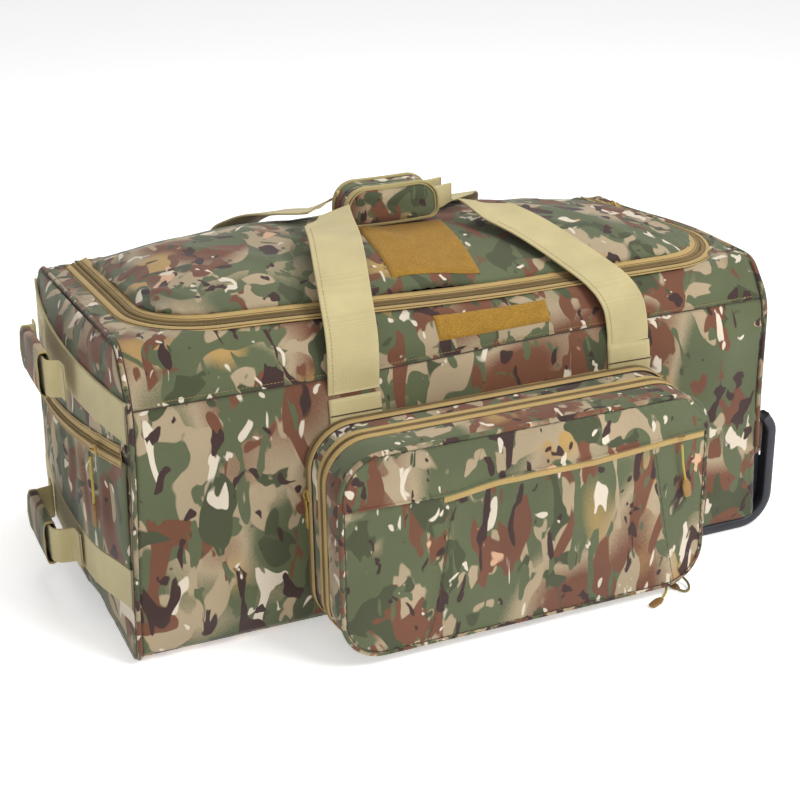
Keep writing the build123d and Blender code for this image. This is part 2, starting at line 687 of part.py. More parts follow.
with BuildPart() as handle_grip:
    add(block(GRIP_X, (-100, 100), (4.5, 25.5)))
    fillet(handle_grip.edges().filter_by(Axis.Y), radius=6)
    add(block((GRIP_X[0] - 1, GRIP_X[0] + 9.5), (-18, 18), (TUBE_Z - 4.5, TUBE_Z + 4.5)), mode=Mode.SUBTRACT)
save(handle_grip, "handle_grip")

with BuildPart() as release_button:
    add(block((GRIP_X[0] - 1.5, GRIP_X[0] + 6), (-17.7, 17.7), (TUBE_Z - 4.2, TUBE_Z + 4.2)))
    fillet(release_button.edges().filter_by(Axis.X), radius=2)
save(release_button, "release_button")
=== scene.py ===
"""Looks of the rolling duffel bag: stuffed shell, lid, straps, pocket, zippers and hardware, in metres.

The long axis is X with the wheels at +X, the front pocket faces -Y, and the bag lies on Z = 0.
"""

import math
from bisect import bisect_right

import bpy
from mathutils import Matrix, Vector, noise


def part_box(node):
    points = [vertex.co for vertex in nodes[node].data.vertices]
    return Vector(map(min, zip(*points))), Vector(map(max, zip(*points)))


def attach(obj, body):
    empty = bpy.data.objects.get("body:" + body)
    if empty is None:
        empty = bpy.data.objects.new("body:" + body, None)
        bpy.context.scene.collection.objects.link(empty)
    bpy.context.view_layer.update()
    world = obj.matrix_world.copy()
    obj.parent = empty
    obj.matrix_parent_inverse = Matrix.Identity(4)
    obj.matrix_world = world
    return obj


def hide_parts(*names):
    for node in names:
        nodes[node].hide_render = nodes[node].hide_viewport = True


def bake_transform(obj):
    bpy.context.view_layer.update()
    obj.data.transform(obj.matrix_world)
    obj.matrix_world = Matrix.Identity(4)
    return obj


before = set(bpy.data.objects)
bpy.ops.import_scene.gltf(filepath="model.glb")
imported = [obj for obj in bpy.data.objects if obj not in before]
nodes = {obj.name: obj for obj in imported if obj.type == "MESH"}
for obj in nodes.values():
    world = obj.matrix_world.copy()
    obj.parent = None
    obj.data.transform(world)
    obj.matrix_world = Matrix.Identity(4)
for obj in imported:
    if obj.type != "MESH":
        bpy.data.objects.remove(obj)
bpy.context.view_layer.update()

# ---- sizes shared by several pieces --------------------------------------------------------------
HALF_L = 0.400
HALF_W = 0.220
BASE_Z = 0.003
SEAM_Z = 0.303
DECK_Z = 0.345
TOP_INSET = 0.036
WRAP_X = 0.3962
END_CROWN = 0.022
LID_LEFT = -0.358
LID_RIGHT = 0.378
LID_EDGE = 0.168
LID_CORNER = 0.092
LID_RIM = 0.3492
POCKET_X = 0.020
POCKET_HALF = 0.220
POCKET_LOW = 0.016
POCKET_TOP = 0.250
POCKET_R = 0.046
POCKET_FACE = 0.326
X = Vector((1, 0, 0))
Y = Vector((0, 1, 0))
Z = Vector((0, 0, 1))


# ---- small maths ---------------------------------------------------------------------------------
def smooth(t):
    """0 to 1 with level ends."""
    t = min(1.0, max(0.0, t))
    return t * t * (3 - 2 * t)


def mix(a, b, t):
    return a + (b - a) * t


def wave(x, y, seed, size):
    """Smooth noise from -1 to 1, with features of about that size."""
    return noise.noise(Vector((x / size, y / size, seed * 7.31)))


def crease(x, y, seed, size):
    """Soft folds: mostly 0, with narrow ridges up to 1."""
    return max(0.0, 1 - 3.2 * abs(wave(x, y, seed, size))) ** 2


def round_corners(points, radii, closed=False, steps=8):
    """A polyline with its corners turned into arcs."""
    out = []
    count = len(points)
    for i, here in enumerate(points):
        if radii[i] == 0 or (not closed and i in (0, count - 1)):
            out.append(here)
            continue
        into = (here - points[i - 1]).normalized()
        away = (points[(i + 1) % count] - here).normalized()
        turn = into.angle(away)
        if turn < 1e-3:
            out.append(here)
            continue
        cut = radii[i] * math.tan(turn / 2)
        centre = here + (away - into).normalized() * (radii[i] / math.cos(turn / 2))
        first = here - into * cut - centre
        last = here + away * cut - centre
        for k in range(steps + 1):
            part = turn * k / steps
            spin = first * math.sin(turn - part) + last * math.sin(part)
            out.append(centre + spin / math.sin(turn))
    return out


class Track:
    """A path that is read by its length."""

    def __init__(self, points, closed=False):
        self.points = list(points) + ([points[0]] if closed else [])
        self.closed = closed
        self.marks = [0.0]
        for a, b in zip(self.points, self.points[1:]):
            self.marks.append(self.marks[-1] + (b - a).length)
        self.length = self.marks[-1]

    def at(self, s):
        s = s % self.length if self.closed else min(self.length, max(0.0, s))
        i = min(len(self.points) - 2, max(0, bisect_right(self.marks, s) - 1))
        span = max(1e-9, self.marks[i + 1] - self.marks[i])
        return self.points[i].lerp(self.points[i + 1], (s - self.marks[i]) / span)

    def direction(self, s, reach=0.0015):
        if not self.closed:
            s = min(self.length - reach, max(reach, s))
        return (self.at(s + reach) - self.at(s - reach)).normalized()

    def samples(self, step):
        count = max(2, round(self.length / step))
        last = count if self.closed else count + 1
        return [self.length * i / count for i in range(last)]


def spline_points(controls, count):
    """A Catmull-Rom curve through the controls."""
    ends = [controls[0] * 2 - controls[1]] + list(controls) + [controls[-1] * 2 - controls[-2]]
    out = []
    pieces = len(controls) - 1
    for k in range(count + 1):
        t = pieces * k / count
        i = min(pieces - 1, int(t))
        f = t - i
        a, b, c, d = ends[i : i + 4]
        out.append(
            0.5 * ((b * 2) + (c - a) * f + (a * 2 - b * 5 + c * 4 - d) * f * f + (b * 3 - a - c * 3 + d) * f ** 3)
        )
    return out


def settle(p):
    """The stuffed bag's lean: a high front left corner, a low back right one, and ends that draw in."""
    height = smooth((p.z - 0.285) / 0.06)
    left = smooth((0.10 - p.x) / 0.45)
    right = smooth((p.x + 0.02) / 0.30)
    lift = left * (0.003 - 0.014 * p.y / (HALF_W - TOP_INSET)) - right * 0.021 * smooth((p.y + 0.10) / 0.28)
    draw = smooth((p.x - 0.28) / 0.11) * (0.006 + 0.007 * smooth(p.z / 0.2))
    lean = smooth((-p.x - 0.28) / 0.11) * 0.010 * smooth(p.z / 0.30)
    return p + Z * (height * lift) + X * (lean - draw)


# ---- meshes --------------------------------------------------------------------------------------
def add_object(name, verts, faces, material, smooth_faces=True):
    mesh = bpy.data.meshes.new(name)
    mesh.from_pydata([tuple(v) for v in verts], [], faces)
    mesh.validate()
    mesh.update()
    mesh.polygons.foreach_set("use_smooth", [smooth_faces] * len(mesh.polygons))
    obj = bpy.data.objects.new(name, mesh)
    bpy.context.scene.collection.objects.link(obj)
    obj.data.materials.append(material)
    return obj


def grid(name, material, at, columns, rows, closed_columns=False):
    """A quad surface of at(u, v), with u and v from 0 to 1."""
    wide = columns if closed_columns else columns + 1
    verts = [at(i / columns, j / rows) for j in range(rows + 1) for i in range(wide)]
    faces = []
    for j in range(rows):
        for i in range(columns):
            k = (i + 1) % wide
            faces.append((j * wide + i, j * wide + k, (j + 1) * wide + k, (j + 1) * wide + i))
    return add_object(name, verts, faces, material)


def sweep(name, material, stations, profile, closed=False, smooth_faces=True):
    """A closed profile of (across, up) pairs run along stations of (point, across, up)."""
    n = len(profile)
    verts = [p + a * x + u * y for p, a, u in stations for x, y in profile]
    faces = []
    rings = len(stations)
    for j in range(rings if closed else rings - 1):
        k = (j + 1) % rings
        for i in range(n):
            m = (i + 1) % n
            faces.append((j * n + i, j * n + m, k * n + m, k * n + i))
    if not closed:
        faces.append(tuple(range(n)))
        faces.append(tuple((rings - 1) * n + i for i in reversed(range(n))))
    return add_object(name, verts, faces, material, smooth_faces)


def circle(radius, count=10):
    return [(radius * math.cos(2 * math.pi * i / count), radius * math.sin(2 * math.pi * i / count))
            for i in range(count)]


def web_profile(width, thick, base=0.0):
    """Webbing's section: a flat band with rounded selvedges, from base up."""
    w = width / 2
    e = min(0.0016, width / 6)
    upper = [(-w, thick * 0.5), (-w + e * 0.4, thick * 0.9), (-w + e, thick), (-w + 2 * e, thick * 0.86),
             (0, thick * 0.9), (w - 2 * e, thick * 0.86), (w - e, thick), (w - e * 0.4, thick * 0.9),
             (w, thick * 0.5)]
    lower = [(w - e * 0.5, 0), (0, 0), (-w + e * 0.5, 0)]
    return [(x, base + y) for x, y in reversed(upper + lower)]


def thicken(obj, thick, lining=None):
    """A cloth's thickness, inwards, with a lining on the inner side."""
    mod = obj.modifiers.new("cloth", "SOLIDIFY")
    mod.thickness = thick
    mod.offset = -1
    if lining:
        obj.data.materials.append(lining)
        mod.material_offset = 1
    return obj


def place(obj, body, slot, *replaced):
    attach(obj, body)
    if replaced:
        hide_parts(*replaced)
    return obj


def join(name, objects):
    """Several objects of one material as one."""
    verts = []
    faces = []
    for obj in objects:
        start = len(verts)
        verts += [obj.matrix_world @ v.co for v in obj.data.vertices]
        faces += [tuple(start + i for i in p.vertices) for p in obj.data.polygons]
    material = objects[0].data.materials[0]
    flags = [p.use_smooth for obj in objects for p in obj.data.polygons]
    for obj in objects:
        bpy.data.objects.remove(obj)
    whole = add_object(name, verts, faces, material)
    whole.data.polygons.foreach_set("use_smooth", flags)
    return whole


def teeth(name, material, stations, pitch, low, high, height, thick=0.62):
    """One row of zipper coil: an arched rib across each station (point, across, up)."""
    verts = []
    faces = []
    for point, across, up in stations:
        along = across.cross(up).normalized() * (pitch * thick / 2)
        start = len(verts)
        for k in range(4):
            a = mix(low, high, k / 3)
            rise = height * (0.45, 1.0, 1.0, 0.55)[k]
            middle = point + across * a
            verts += [middle - along, middle - along * 0.6 + up * rise, middle + along * 0.6 + up * rise,
                      middle + along]
        for k in range(3):
            for i in range(3):
                a = start + 4 * k + i
                faces.append((a, a + 1, a + 5, a + 4))
        faces.append((start, start + 3, start + 2, start + 1))
        faces.append((start + 12, start + 13, start + 14, start + 15))
    return add_object(name, verts, faces, material)


def stitches(name, material, stations, length=0.0026, radius=0.00035):
    """Short threads lying along each station (point, along, up)."""
    verts = []
    faces = []
    for point, along, up in stations:
        side = along.cross(up).normalized() * radius
        start = len(verts)
        for k, rise in ((-0.5, 0.1), (-0.25, 1.0), (0.25, 1.0), (0.5, 0.1)):
            middle = point + along * (k * length) + up * (rise * radius)
            verts += [middle - side, middle + up * radius, middle + side]
        for k in range(3):
            a = start + 3 * k
            faces += [(a, a + 1, a + 4, a + 3), (a + 1, a + 2, a + 5, a + 4)]
    return add_object(name, verts, faces, material)


# ---- materials -----------------------------------------------------------------------------------
def rgb(code):
    """A hex colour as a linear RGBA tuple."""
    parts = [int(code[i : i + 2], 16) / 255 for i in (0, 2, 4)]
    return tuple(c / 12.92 if c < 0.04045 else ((c + 0.055) / 1.055) ** 2.4 for c in parts) + (1.0,)


class Maker:
    """Builds one node material."""

    def __init__(self, name, roughness=0.8, metallic=0.0, sheen=0.0, specular=0.5):
        self.material = bpy.data.materials.new(name)
        self.material.use_nodes = True
        self.tree = self.material.node_tree
        self.shader = self.tree.nodes["Principled BSDF"]
        self.shader.inputs["Roughness"].default_value = roughness
        self.shader.inputs["Metallic"].default_value = metallic
        self.shader.inputs["Specular IOR Level"].default_value = specular
        self.shader.inputs["Sheen Weight"].default_value = sheen
        self.shader.inputs["Sheen Roughness"].default_value = 0.5
        self.coords = self.tree.nodes.new("ShaderNodeTexCoord").outputs["Object"]

    def put(self, socket, value):
        if isinstance(value, bpy.types.NodeSocket):
            self.tree.links.new(value, socket)
        else:
            socket.default_value = value

    def mapped(self, shift=(0, 0, 0), scale=(1, 1, 1), turn=(0, 0, 0)):
        node = self.tree.nodes.new("ShaderNodeMapping")
        self.tree.links.new(self.coords, node.inputs["Vector"])
        node.inputs["Location"].default_value = shift
        node.inputs["Scale"].default_value = scale
        node.inputs["Rotation"].default_value = turn
        return node.outputs["Vector"]

    def noise(self, vector, scale, detail=2.0, distortion=0.0, roughness=0.5):
        node = self.tree.nodes.new("ShaderNodeTexNoise")
        self.put(node.inputs["Vector"], vector)
        node.inputs["Scale"].default_value = scale
        node.inputs["Detail"].default_value = detail
        node.inputs["Distortion"].default_value = distortion
        node.inputs["Roughness"].default_value = roughness
        return node.outputs["Fac"]

    def maths(self, kind, a, b=0.0):
        node = self.tree.nodes.new("ShaderNodeMath")
        node.operation = kind
        self.put(node.inputs[0], a)
        self.put(node.inputs[1], b)
        return node.outputs[0]

    def step(self, value, low, high, to_low=0.0, to_high=1.0):
        node = self.tree.nodes.new("ShaderNodeMapRange")
        self.put(node.inputs["Value"], value)
        node.inputs["From Min"].default_value = low
        node.inputs["From Max"].default_value = high
        node.inputs["To Min"].default_value = to_low
        node.inputs["To Max"].default_value = to_high
        return node.outputs["Result"]

    def blend(self, factor, a, b, kind="MIX"):
        node = self.tree.nodes.new("ShaderNodeMix")
        node.data_type = "RGBA"
        node.blend_type = kind
        self.put(node.inputs[0], factor)
        self.put(node.inputs[6], a)
        self.put(node.inputs[7], b)
        return node.outputs[2]

    def threads(self, pitch, vector=None):
        """A plain weave's height, from 0 to 1, on any face."""
        split = self.tree.nodes.new("ShaderNodeSeparateXYZ")
        self.put(split.inputs[0], vector or self.coords)
        waves = [self.maths("SINE",
                            self.maths("MULTIPLY", split.outputs[i], 2 * math.pi / pitch)) for i in range(3)]
        pairs = [self.maths("MULTIPLY", waves[i], waves[(i + 1) % 3]) for i in range(3)]
        total = self.maths("ADD", self.maths("ADD", pairs[0], pairs[1]), pairs[2])
        return self.step(total, -1.2, 1.2)

    def bump(self, height, distance, strength=0.6):
        node = self.tree.nodes.new("ShaderNodeBump")
        self.put(node.inputs["Height"], height)
        node.inputs["Distance"].default_value = distance
        node.inputs["Strength"].default_value = strength
        self.tree.links.new(node.outputs["Normal"], self.shader.inputs["Normal"])

    def colour(self, value):
        self.put(self.shader.inputs["Base Color"], value)
        return self.material


GREEN = rgb("596043")
DEEP_GREEN = rgb("464b33")
BROWN = rgb("6f4632")
DARK = rgb("3d2a27")
TAN = rgb("a89679")
GOLD = rgb("b08f57")
CREAM = rgb("d6cab6")
PEACH = rgb("cfa583")


def camo(name, shift, turn=(0, 0, 0), stretch=(1, 1, 1)):
    """Printed canvas: airbrushed fields, hard-edged shapes, dark and cream blots, and a fine weave."""
    m = Maker(name, roughness=0.82, sheen=0.18, specular=0.28)
    base = m.mapped(shift, stretch, turn)

    def shapes(offset, scale, level, edge=0.007, detail=2.0, distortion=1.0, squeeze=(1, 1, 1)):
        place_at = tuple(s + o for s, o in zip(shift, offset))
        size = tuple(a * b for a, b in zip(stretch, squeeze))
        field = m.noise(m.mapped(place_at, size, turn), scale, detail, distortion, 0.42)
        return m.step(field, level - edge, level + edge)

    spray = m.noise(m.coords, 900.0, 1.0)
    field = m.maths("ADD", m.noise(base, 6.5, 1.0, 0.4), m.step(spray, 0, 1, -0.035, 0.035))
    colour = m.blend(m.step(field, 0.40, 0.50), BROWN, TAN)
    colour = m.blend(m.step(field, 0.50, 0.57), colour, GREEN)
    gold = m.maths("ADD", m.noise(m.mapped((3, 1, 7), stretch, turn), 7.0, 1.0),
                   m.step(spray, 0, 1, -0.03, 0.03))
    colour = m.blend(m.step(gold, 0.62, 0.69), colour, GOLD)
    colour = m.blend(shapes((1.7, 4.1, 0.3), 11.0, 0.545), colour, GREEN)
    colour = m.blend(shapes((5.2, 0.4, 2.6), 14.0, 0.575, squeeze=(1.3, 1, 0.8)), colour, TAN)
    colour = m.blend(shapes((2.9, 7.7, 4.2), 15.0, 0.575, squeeze=(1.3, 1, 0.8)), colour, BROWN)
    colour = m.blend(shapes((9.1, 3.4, 1.1), 17.0, 0.615), colour, DEEP_GREEN)
    colour = m.blend(shapes((6.4, 2.8, 8.5), 17.0, 0.72), colour, PEACH)
    colour = m.blend(shapes((3.3, 1.9, 9.4), 22.0, 0.625, distortion=1.2, squeeze=(1.4, 1, 0.8)), colour, GREEN)
    colour = m.blend(shapes((4.6, 6.1, 3.7), 26.0, 0.665, distortion=0.9, squeeze=(1.3, 1, 0.7)), colour, CREAM)
    colour = m.blend(shapes((8.3, 5.5, 6.9), 25.0, 0.640, distortion=0.8, squeeze=(1.2, 1, 0.75)), colour, DARK)
    colour = m.blend(shapes((0.6, 9.2, 5.8), 38.0, 0.675, distortion=0.5), colour, DARK)
    colour = m.blend(shapes((7.5, 8.4, 0.9), 40.0, 0.71, distortion=0.5), colour, CREAM)
    shade = m.step(m.noise(base, 9.0, 2.0), 0.3, 0.7, 0.86, 1.08)
    grain = m.step(m.noise(m.coords, 1500.0, 1.0), 0.25, 0.75, 0.90, 1.08)
    colour = m.blend(1.0, colour, m.maths("MULTIPLY", shade, grain), "MULTIPLY")
    weave = m.threads(0.0011)
    m.bump(m.maths("ADD", weave, m.noise(m.coords, 260.0, 3.0)), 0.00022, 0.55)
    return m.colour(colour)


def webbing(name, code, pitch=0.0016, variation=0.10):
    m = Maker(name, roughness=0.78, sheen=0.15, specular=0.28)
    rows = m.threads(pitch)
    cloud = m.step(m.noise(m.coords, 22.0, 3.0), 0.3, 0.7, 1 - variation, 1 + variation * 0.6)
    thread = m.step(rows, 0, 1, 0.86, 1.05)
    colour = m.blend(1.0, rgb(code), m.maths("MULTIPLY", cloud, thread), "MULTIPLY")
    m.bump(m.maths("ADD", rows, m.noise(m.coords, 700.0, 2.0)), 0.0003, 0.6)
    return m.colour(colour)


def loop_cloth(name, code):
    m = Maker(name, roughness=0.95, sheen=0.12, specular=0.1)
    fluff = m.noise(m.coords, 950.0, 2.0, 0.8)
    cloud = m.step(m.noise(m.coords, 60.0, 2.0), 0.3, 0.7, 0.92, 1.06)
    colour = m.blend(1.0, rgb(code), m.maths("MULTIPLY", m.step(fluff, 0.3, 0.7, 0.62, 1.32), cloud),
                     "MULTIPLY")
    m.bump(fluff, 0.0012, 1.0)
    return m.colour(colour)


def moulded(name, code, roughness=0.5, grain=900.0, specular=0.5):
    m = Maker(name, roughness=roughness, specular=specular)
    speck = m.noise(m.coords, grain, 2.0)
    worn = m.step(m.noise(m.coords, 35.0, 4.0), 0.35, 0.75, 0.85, 1.25)
    m.put(m.shader.inputs["Roughness"], m.step(speck, 0.3, 0.7, roughness - 0.08, roughness + 0.1))
    m.bump(speck, 0.00015, 0.5)
    return m.colour(m.blend(1.0, rgb(code), worn, "MULTIPLY"))


def metal(name, code, roughness=0.35):
    m = Maker(name, roughness=roughness, metallic=1.0)
    brushed = m.noise(m.mapped(scale=(0.05, 1, 1)), 700.0, 2.0)
    m.put(m.shader.inputs["Roughness"], m.step(brushed, 0.3, 0.7, roughness - 0.07, roughness + 0.12))
    m.bump(brushed, 0.00008, 0.4)
    return m.colour(m.blend(1.0, rgb(code), m.step(brushed, 0.3, 0.7, 0.85, 1.05), "MULTIPLY"))


CAMO_FRONT = camo("camo_front", (0.31, 0.10, 0.77), turn=(0, 0.15, 0), stretch=(0.95, 0.9, 0.75))
CAMO_TOP = camo("camo_top", (1.12, 0.45, 0.20), turn=(0, 0.1, 0))
CAMO_LID = camo("camo_lid", (2.25, 1.31, 0.40), turn=(0, 0, 0.3), stretch=(0.9, 0.9, 0.9))
CAMO_LEFT = camo("camo_left", (3.05, 2.22, 1.31), turn=(0.2, 0, 0), stretch=(1, 0.9, 0.85))
CAMO_RIGHT = camo("camo_right", (4.41, 3.02, 2.13))
CAMO_BACK = camo("camo_back", (5.17, 4.33, 3.04), turn=(0, 0.4, 0))
CAMO_BASE = camo("camo_base", (6.21, 5.01, 4.42))
CAMO_FACE = camo("camo_face", (0.62, 6.17, 5.33), turn=(0, 0.1, 0), stretch=(1.2, 1.0, 0.72))
CAMO_FACE_TOP = camo("camo_face_top", (7.43, 0.71, 6.24), turn=(0, -0.3, 0), stretch=(1.1, 1.0, 0.9))
CAMO_FACE_SIDE = camo("camo_face_side", (8.01, 7.37, 0.55), turn=(0, 1.45, 0), stretch=(1.1, 1.0, 0.8))
CAMO_GUSSET = camo("camo_gusset", (9.22, 8.41, 7.05), stretch=(1.2, 1.2, 1.2))
CAMO_PAD = camo("camo_pad", (1.93, 9.02, 8.21), turn=(0, 1.5, 0), stretch=(1.15, 1.15, 0.9))
CAMO_PIPE = camo("camo_pipe", (2.71, 0.83, 9.14), stretch=(1.4, 1.4, 1.4))
WEBBING = webbing("webbing_khaki", "c0b284")
TAPE = webbing("zip_tape", "b79a60", pitch=0.0011, variation=0.08)
BINDING = webbing("binding_khaki", "ac9c6a", pitch=0.0012)
COIL = webbing("zip_coil", "8b744a", pitch=0.0009, variation=0.14)
THREAD = webbing("thread_khaki", "9c8656", pitch=0.0006)
DARK_THREAD = webbing("thread_dark", "4a3a2a", pitch=0.0006)
LINING = webbing("lining", "55523f", pitch=0.0010)
LOOP = loop_cloth("loop_patch", "a17a31")
CORD = webbing("cord_khaki", "b5a04f", pitch=0.0013, variation=0.15)
# A darker copy of the khaki cord: painted shade, for the pull that lies on the floor under the pocket.
SHADED_CORD = webbing("cord_khaki_painted_shade", "7e7446", pitch=0.0013, variation=0.15)
TAB = moulded("tab_tan", "8a6a3c", roughness=0.55, specular=0.35)
# A darker copy of the tan tab: painted shade, for the same pull under the pocket.
SHADED_TAB = moulded("tab_tan_painted_shade", "6b4f2e", roughness=0.55, specular=0.35)
RAIL = moulded("rail_navy", "23252c", roughness=0.42)
MOULDING = moulded("moulding_black", "25272e", roughness=0.5)
BOARD = moulded("board", "3a3833", roughness=0.7, grain=300.0)
BUTTON = moulded("button_grey", "75767a", roughness=0.35)
HUB = moulded("hub_grey", "4a4b50", roughness=0.45)
TYRE = moulded("tyre_black", "1c1c1e", roughness=0.75, grain=500.0, specular=0.3)
STEEL = metal("steel", "a9abae", 0.32)
TUBE = metal("tube_aluminium", "b4b6ba", 0.28)
ENAMEL = moulded("slider_enamel", "a8873f", roughness=0.34, specular=0.6)


# ---- the shell's section -------------------------------------------------------------------------
SECTION = Track(
    round_corners(
        [Vector((0, DECK_Z)), Vector((HALF_W - TOP_INSET, DECK_Z)), Vector((HALF_W, SEAM_Z)),
         Vector((HALF_W, BASE_Z)), Vector((0, BASE_Z))],
        [0, 0.028, 0.060, 0.018, 0],
        steps=14,
    )
)


def section_mark(height):
    """How far round the section, from the top's middle, its side is at that height."""
    low, high = HALF_W - TOP_INSET - 0.02, SECTION.length - HALF_W
    for _ in range(40):
        middle = (low + high) / 2
        if SECTION.at(middle)[1] > height:
            low = middle
        else:
            high = middle
    return low


SEAM_S = section_mark(SEAM_Z)
FLOOR_S = section_mark(0.0075)


def shell(x, s, side, out=0.0):
    """A point on the shell, s round from the top's middle, towards side -1 or 1, and out proud of it."""
    if side < 0:
        s += 0.007 * smooth((0.15 - x) / 0.30) * math.exp(-(((s - SEAM_S) / 0.035) ** 2))
    y, z = SECTION.at(s)
    along = SECTION.direction(s)
    normal = Vector((-along[1], along[0]))
    if normal[0] * y + normal[1] * (z - 0.17) < 0:
        normal = -normal
    ends = smooth((WRAP_X - abs(x)) / 0.07)
    seam = min(1.0, abs(s - SEAM_S) / 0.05)
    wall = smooth((s - SEAM_S) / 0.05) * smooth((FLOOR_S - s) / 0.06)
    swell = 0.0055 * ends * wall
    low = math.exp(-(((z - 0.035) / 0.040) ** 2)) * wall
    swell += 0.0085 * low * smooth((0.05 - x) / 0.30) * smooth((WRAP_X - abs(x)) / 0.03)
    swell += 0.0030 * ends * wall * wave(x, s, 3 + side, 0.16)
    swell += 0.0011 * wave(x, s, 5 + side, 0.045) * (0.4 + 0.6 * ends)
    swell += 0.0016 * crease(x * 0.6 + s * 0.5, s * 0.5 - x * 0.3, 8 + side, 0.10) * (0.3 + 0.7 * seam)
    pucker = math.exp(-abs(s - SEAM_S) / 0.010) + math.exp(-(WRAP_X - abs(x)) / 0.012)
    swell -= 0.0010 * pucker * (0.5 + 0.5 * math.sin((x + s) * 420 + 4 * wave(x, s, 2, 0.05)))
    swell -= 0.0016 * math.exp(-abs(s - SEAM_S) / 0.0035)
    right = smooth((x - 0.24) / 0.12) * smooth((SEAM_S + 0.02 - s) / 0.04)
    swell += 0.0032 * right * crease(x - s * 0.8, s * 0.4, 21, 0.07)
    d = swell + out
    return settle(Vector((x, side * (y + normal[0] * d), z + normal[1] * d)))


def shell_frame(x, s, side):
    """Point, direction along X and outward normal on the shell."""
    here = shell(x, s, side)
    along = (shell(x + 0.002, s, side) - shell(x - 0.002, s, side)).normalized()
    down = (shell(x, s + 0.002, side) - shell(x, s - 0.002, side)).normalized()
    out = along.cross(down) if side > 0 else down.cross(along)
    return here, along, out.normalized()


def side_panel(name, side, material, body, node):
    def at(u, v):
        return shell(mix(-WRAP_X, WRAP_X, u), mix(SEAM_S, FLOOR_S, v), side)

    panel = grid(name, material, at, 150, 60)
    thicken(panel, 0.0025, LINING)
    return place(panel, body, "camo_canvas", node)


side_panel("shell_front", -1, CAMO_FRONT, "bag", "front_panel")
side_panel("shell_back", 1, CAMO_BACK, "bag", "back_panel")


def base_at(u, v):
    x = mix(-WRAP_X, WRAP_X, u)
    s = mix(FLOOR_S, SECTION.length, min(v, 1 - v) * 2)
    side = -1 if v < 0.5 else 1
    y, z = SECTION.at(s)
    return Vector((x, side * y, z + 0.0002))


def base_cut(obj):
    """The base's cloth stops at the handle cup and at the moulded wheel base."""
    keep = []
    cup_low, cup_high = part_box("handle_cup")
    mould_low, mould_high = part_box("wheel_base")
    for p in obj.data.polygons:
        c = p.center
        in_cup = c.x < cup_high.x and cup_low.y < c.y < cup_high.y and c.z < cup_high.z
        in_mould = c.x > mould_low.x and mould_low.y < c.y < mould_high.y
        if not (in_cup or in_mould):
            keep.append(tuple(p.vertices))
    verts = [v.co.copy() for v in obj.data.vertices]
    material = obj.data.materials[0]
    name = obj.name
    bpy.data.objects.remove(obj)
    return add_object(name + "_cut", verts, keep, material)


floor_cloth = base_cut(grid("shell_base", CAMO_BASE, base_at, 160, 80))
thicken(floor_cloth, 0.0015, LINING)
place(floor_cloth, "bag", "camo_canvas", "base_panel")


# ---- top band ------------------------------------------------------------------------------------
def lid_outline(grow, back, steps=10):
    """The lid's outline from its back left corner, round the front, to its back right corner."""
    left, right, front = LID_LEFT - grow, LID_RIGHT + grow, -LID_EDGE - grow
    corner = LID_CORNER + grow
    points = [Vector((left, back, 0)), Vector((left, front, 0)), Vector((right, front, 0)),
              Vector((right, back, 0))]
    return round_corners(points, [0, corner, corner, 0], steps=steps)


HINGE_Y = LID_EDGE + 0.004
TAPE_OUT = 0.0125


def top_band():
    """The sloping band and the deck: a ring between the seams and the lid's opening."""
    inner = Track(lid_outline(TAPE_OUT, HINGE_Y) , closed=True)
    count = 260
    hole = [inner.at(inner.length * i / count) for i in range(count)]
    outer = []
    for p in hole:
        # the ring's outer edge: out along the ray that leaves a rounded core, to the seams and ends
        core = Vector((min(0.30, max(-0.28, p.x)), min(0.10, max(-0.10, p.y)), 0))
        ray = (p - core).normalized()
        reach = []
        if abs(ray.x) > 1e-6:
            reach.append(((WRAP_X if ray.x > 0 else -WRAP_X) - core.x) / ray.x)
        if abs(ray.y) > 1e-6:
            reach.append(((SEAM_S if ray.y > 0 else -SEAM_S) - core.y) / ray.y)
        outer.append(core + ray * min(r for r in reach if r > 0))
    for corner in ((-WRAP_X, -SEAM_S), (WRAP_X, -SEAM_S), (WRAP_X, SEAM_S), (-WRAP_X, SEAM_S)):
        mark = Vector((corner[0], corner[1], 0))
        nearest = min(range(count), key=lambda i: (outer[i] - mark).length)
        outer[nearest] = mark
    rows = 22
    verts = []
    for j in range(rows + 1):
        for a, b in zip(outer, hole):
            flat = a.lerp(b, j / rows)
            side = -1 if flat.y < 0 else 1
            verts.append(shell(flat.x, abs(flat.y), side))
    faces = []
    for j in range(rows):
        for i in range(count):
            k = (i + 1) % count
            faces.append((j * count + i, (j + 1) * count + i, (j + 1) * count + k, j * count + k))
    band = add_object("shell_top", verts, faces, CAMO_TOP)
    return band


def face_outwards(obj, inside):
    """Turns an open skin's faces away from a point inside it."""
    mesh = obj.data
    total = sum((p.center - inside).dot(p.normal) * p.area for p in mesh.polygons)
    if total < 0:
        mesh.flip_normals()
    return obj


band = face_outwards(top_band(), Vector((0, 0, 0.1)))
thicken(band, 0.0025, LINING)
place(band, "bag", "camo_canvas", "top_band")
for name in ("shell_front", "shell_back", "shell_base_cut"):
    face_outwards(bpy.data.objects[name], Vector((0, 0, 0.17)))


# ---- ends ----------------------------------------------------------------------------------------
def end_half(z):
    """Half the section's width at a height, measured on the section itself."""
    best = 0.0
    for a, b in zip(SECTION.points, SECTION.points[1:]):
        low, high = min(a[1], b[1]), max(a[1], b[1])
        if low <= z <= high and high > low:
            best = max(best, mix(a[0], b[0], (z - a[1]) / (b[1] - a[1])))
    return best - 0.0012


def crown(y, z):
    """How far the stuffed left end bulges."""
    across = max(0.0, 1 - (y / HALF_W) ** 2)
    rise = 1.0
    top, bottom = DECK_Z - 0.057, BASE_Z + 0.067
    if z > top:
        rise = max(0.0, 1 - ((z - top) / 0.0575) ** 2) ** 0.6
    if z < bottom:
        rise = max(0.0, 1 - ((bottom - z) / 0.0675) ** 2) ** 0.6
    return END_CROWN * across * rise


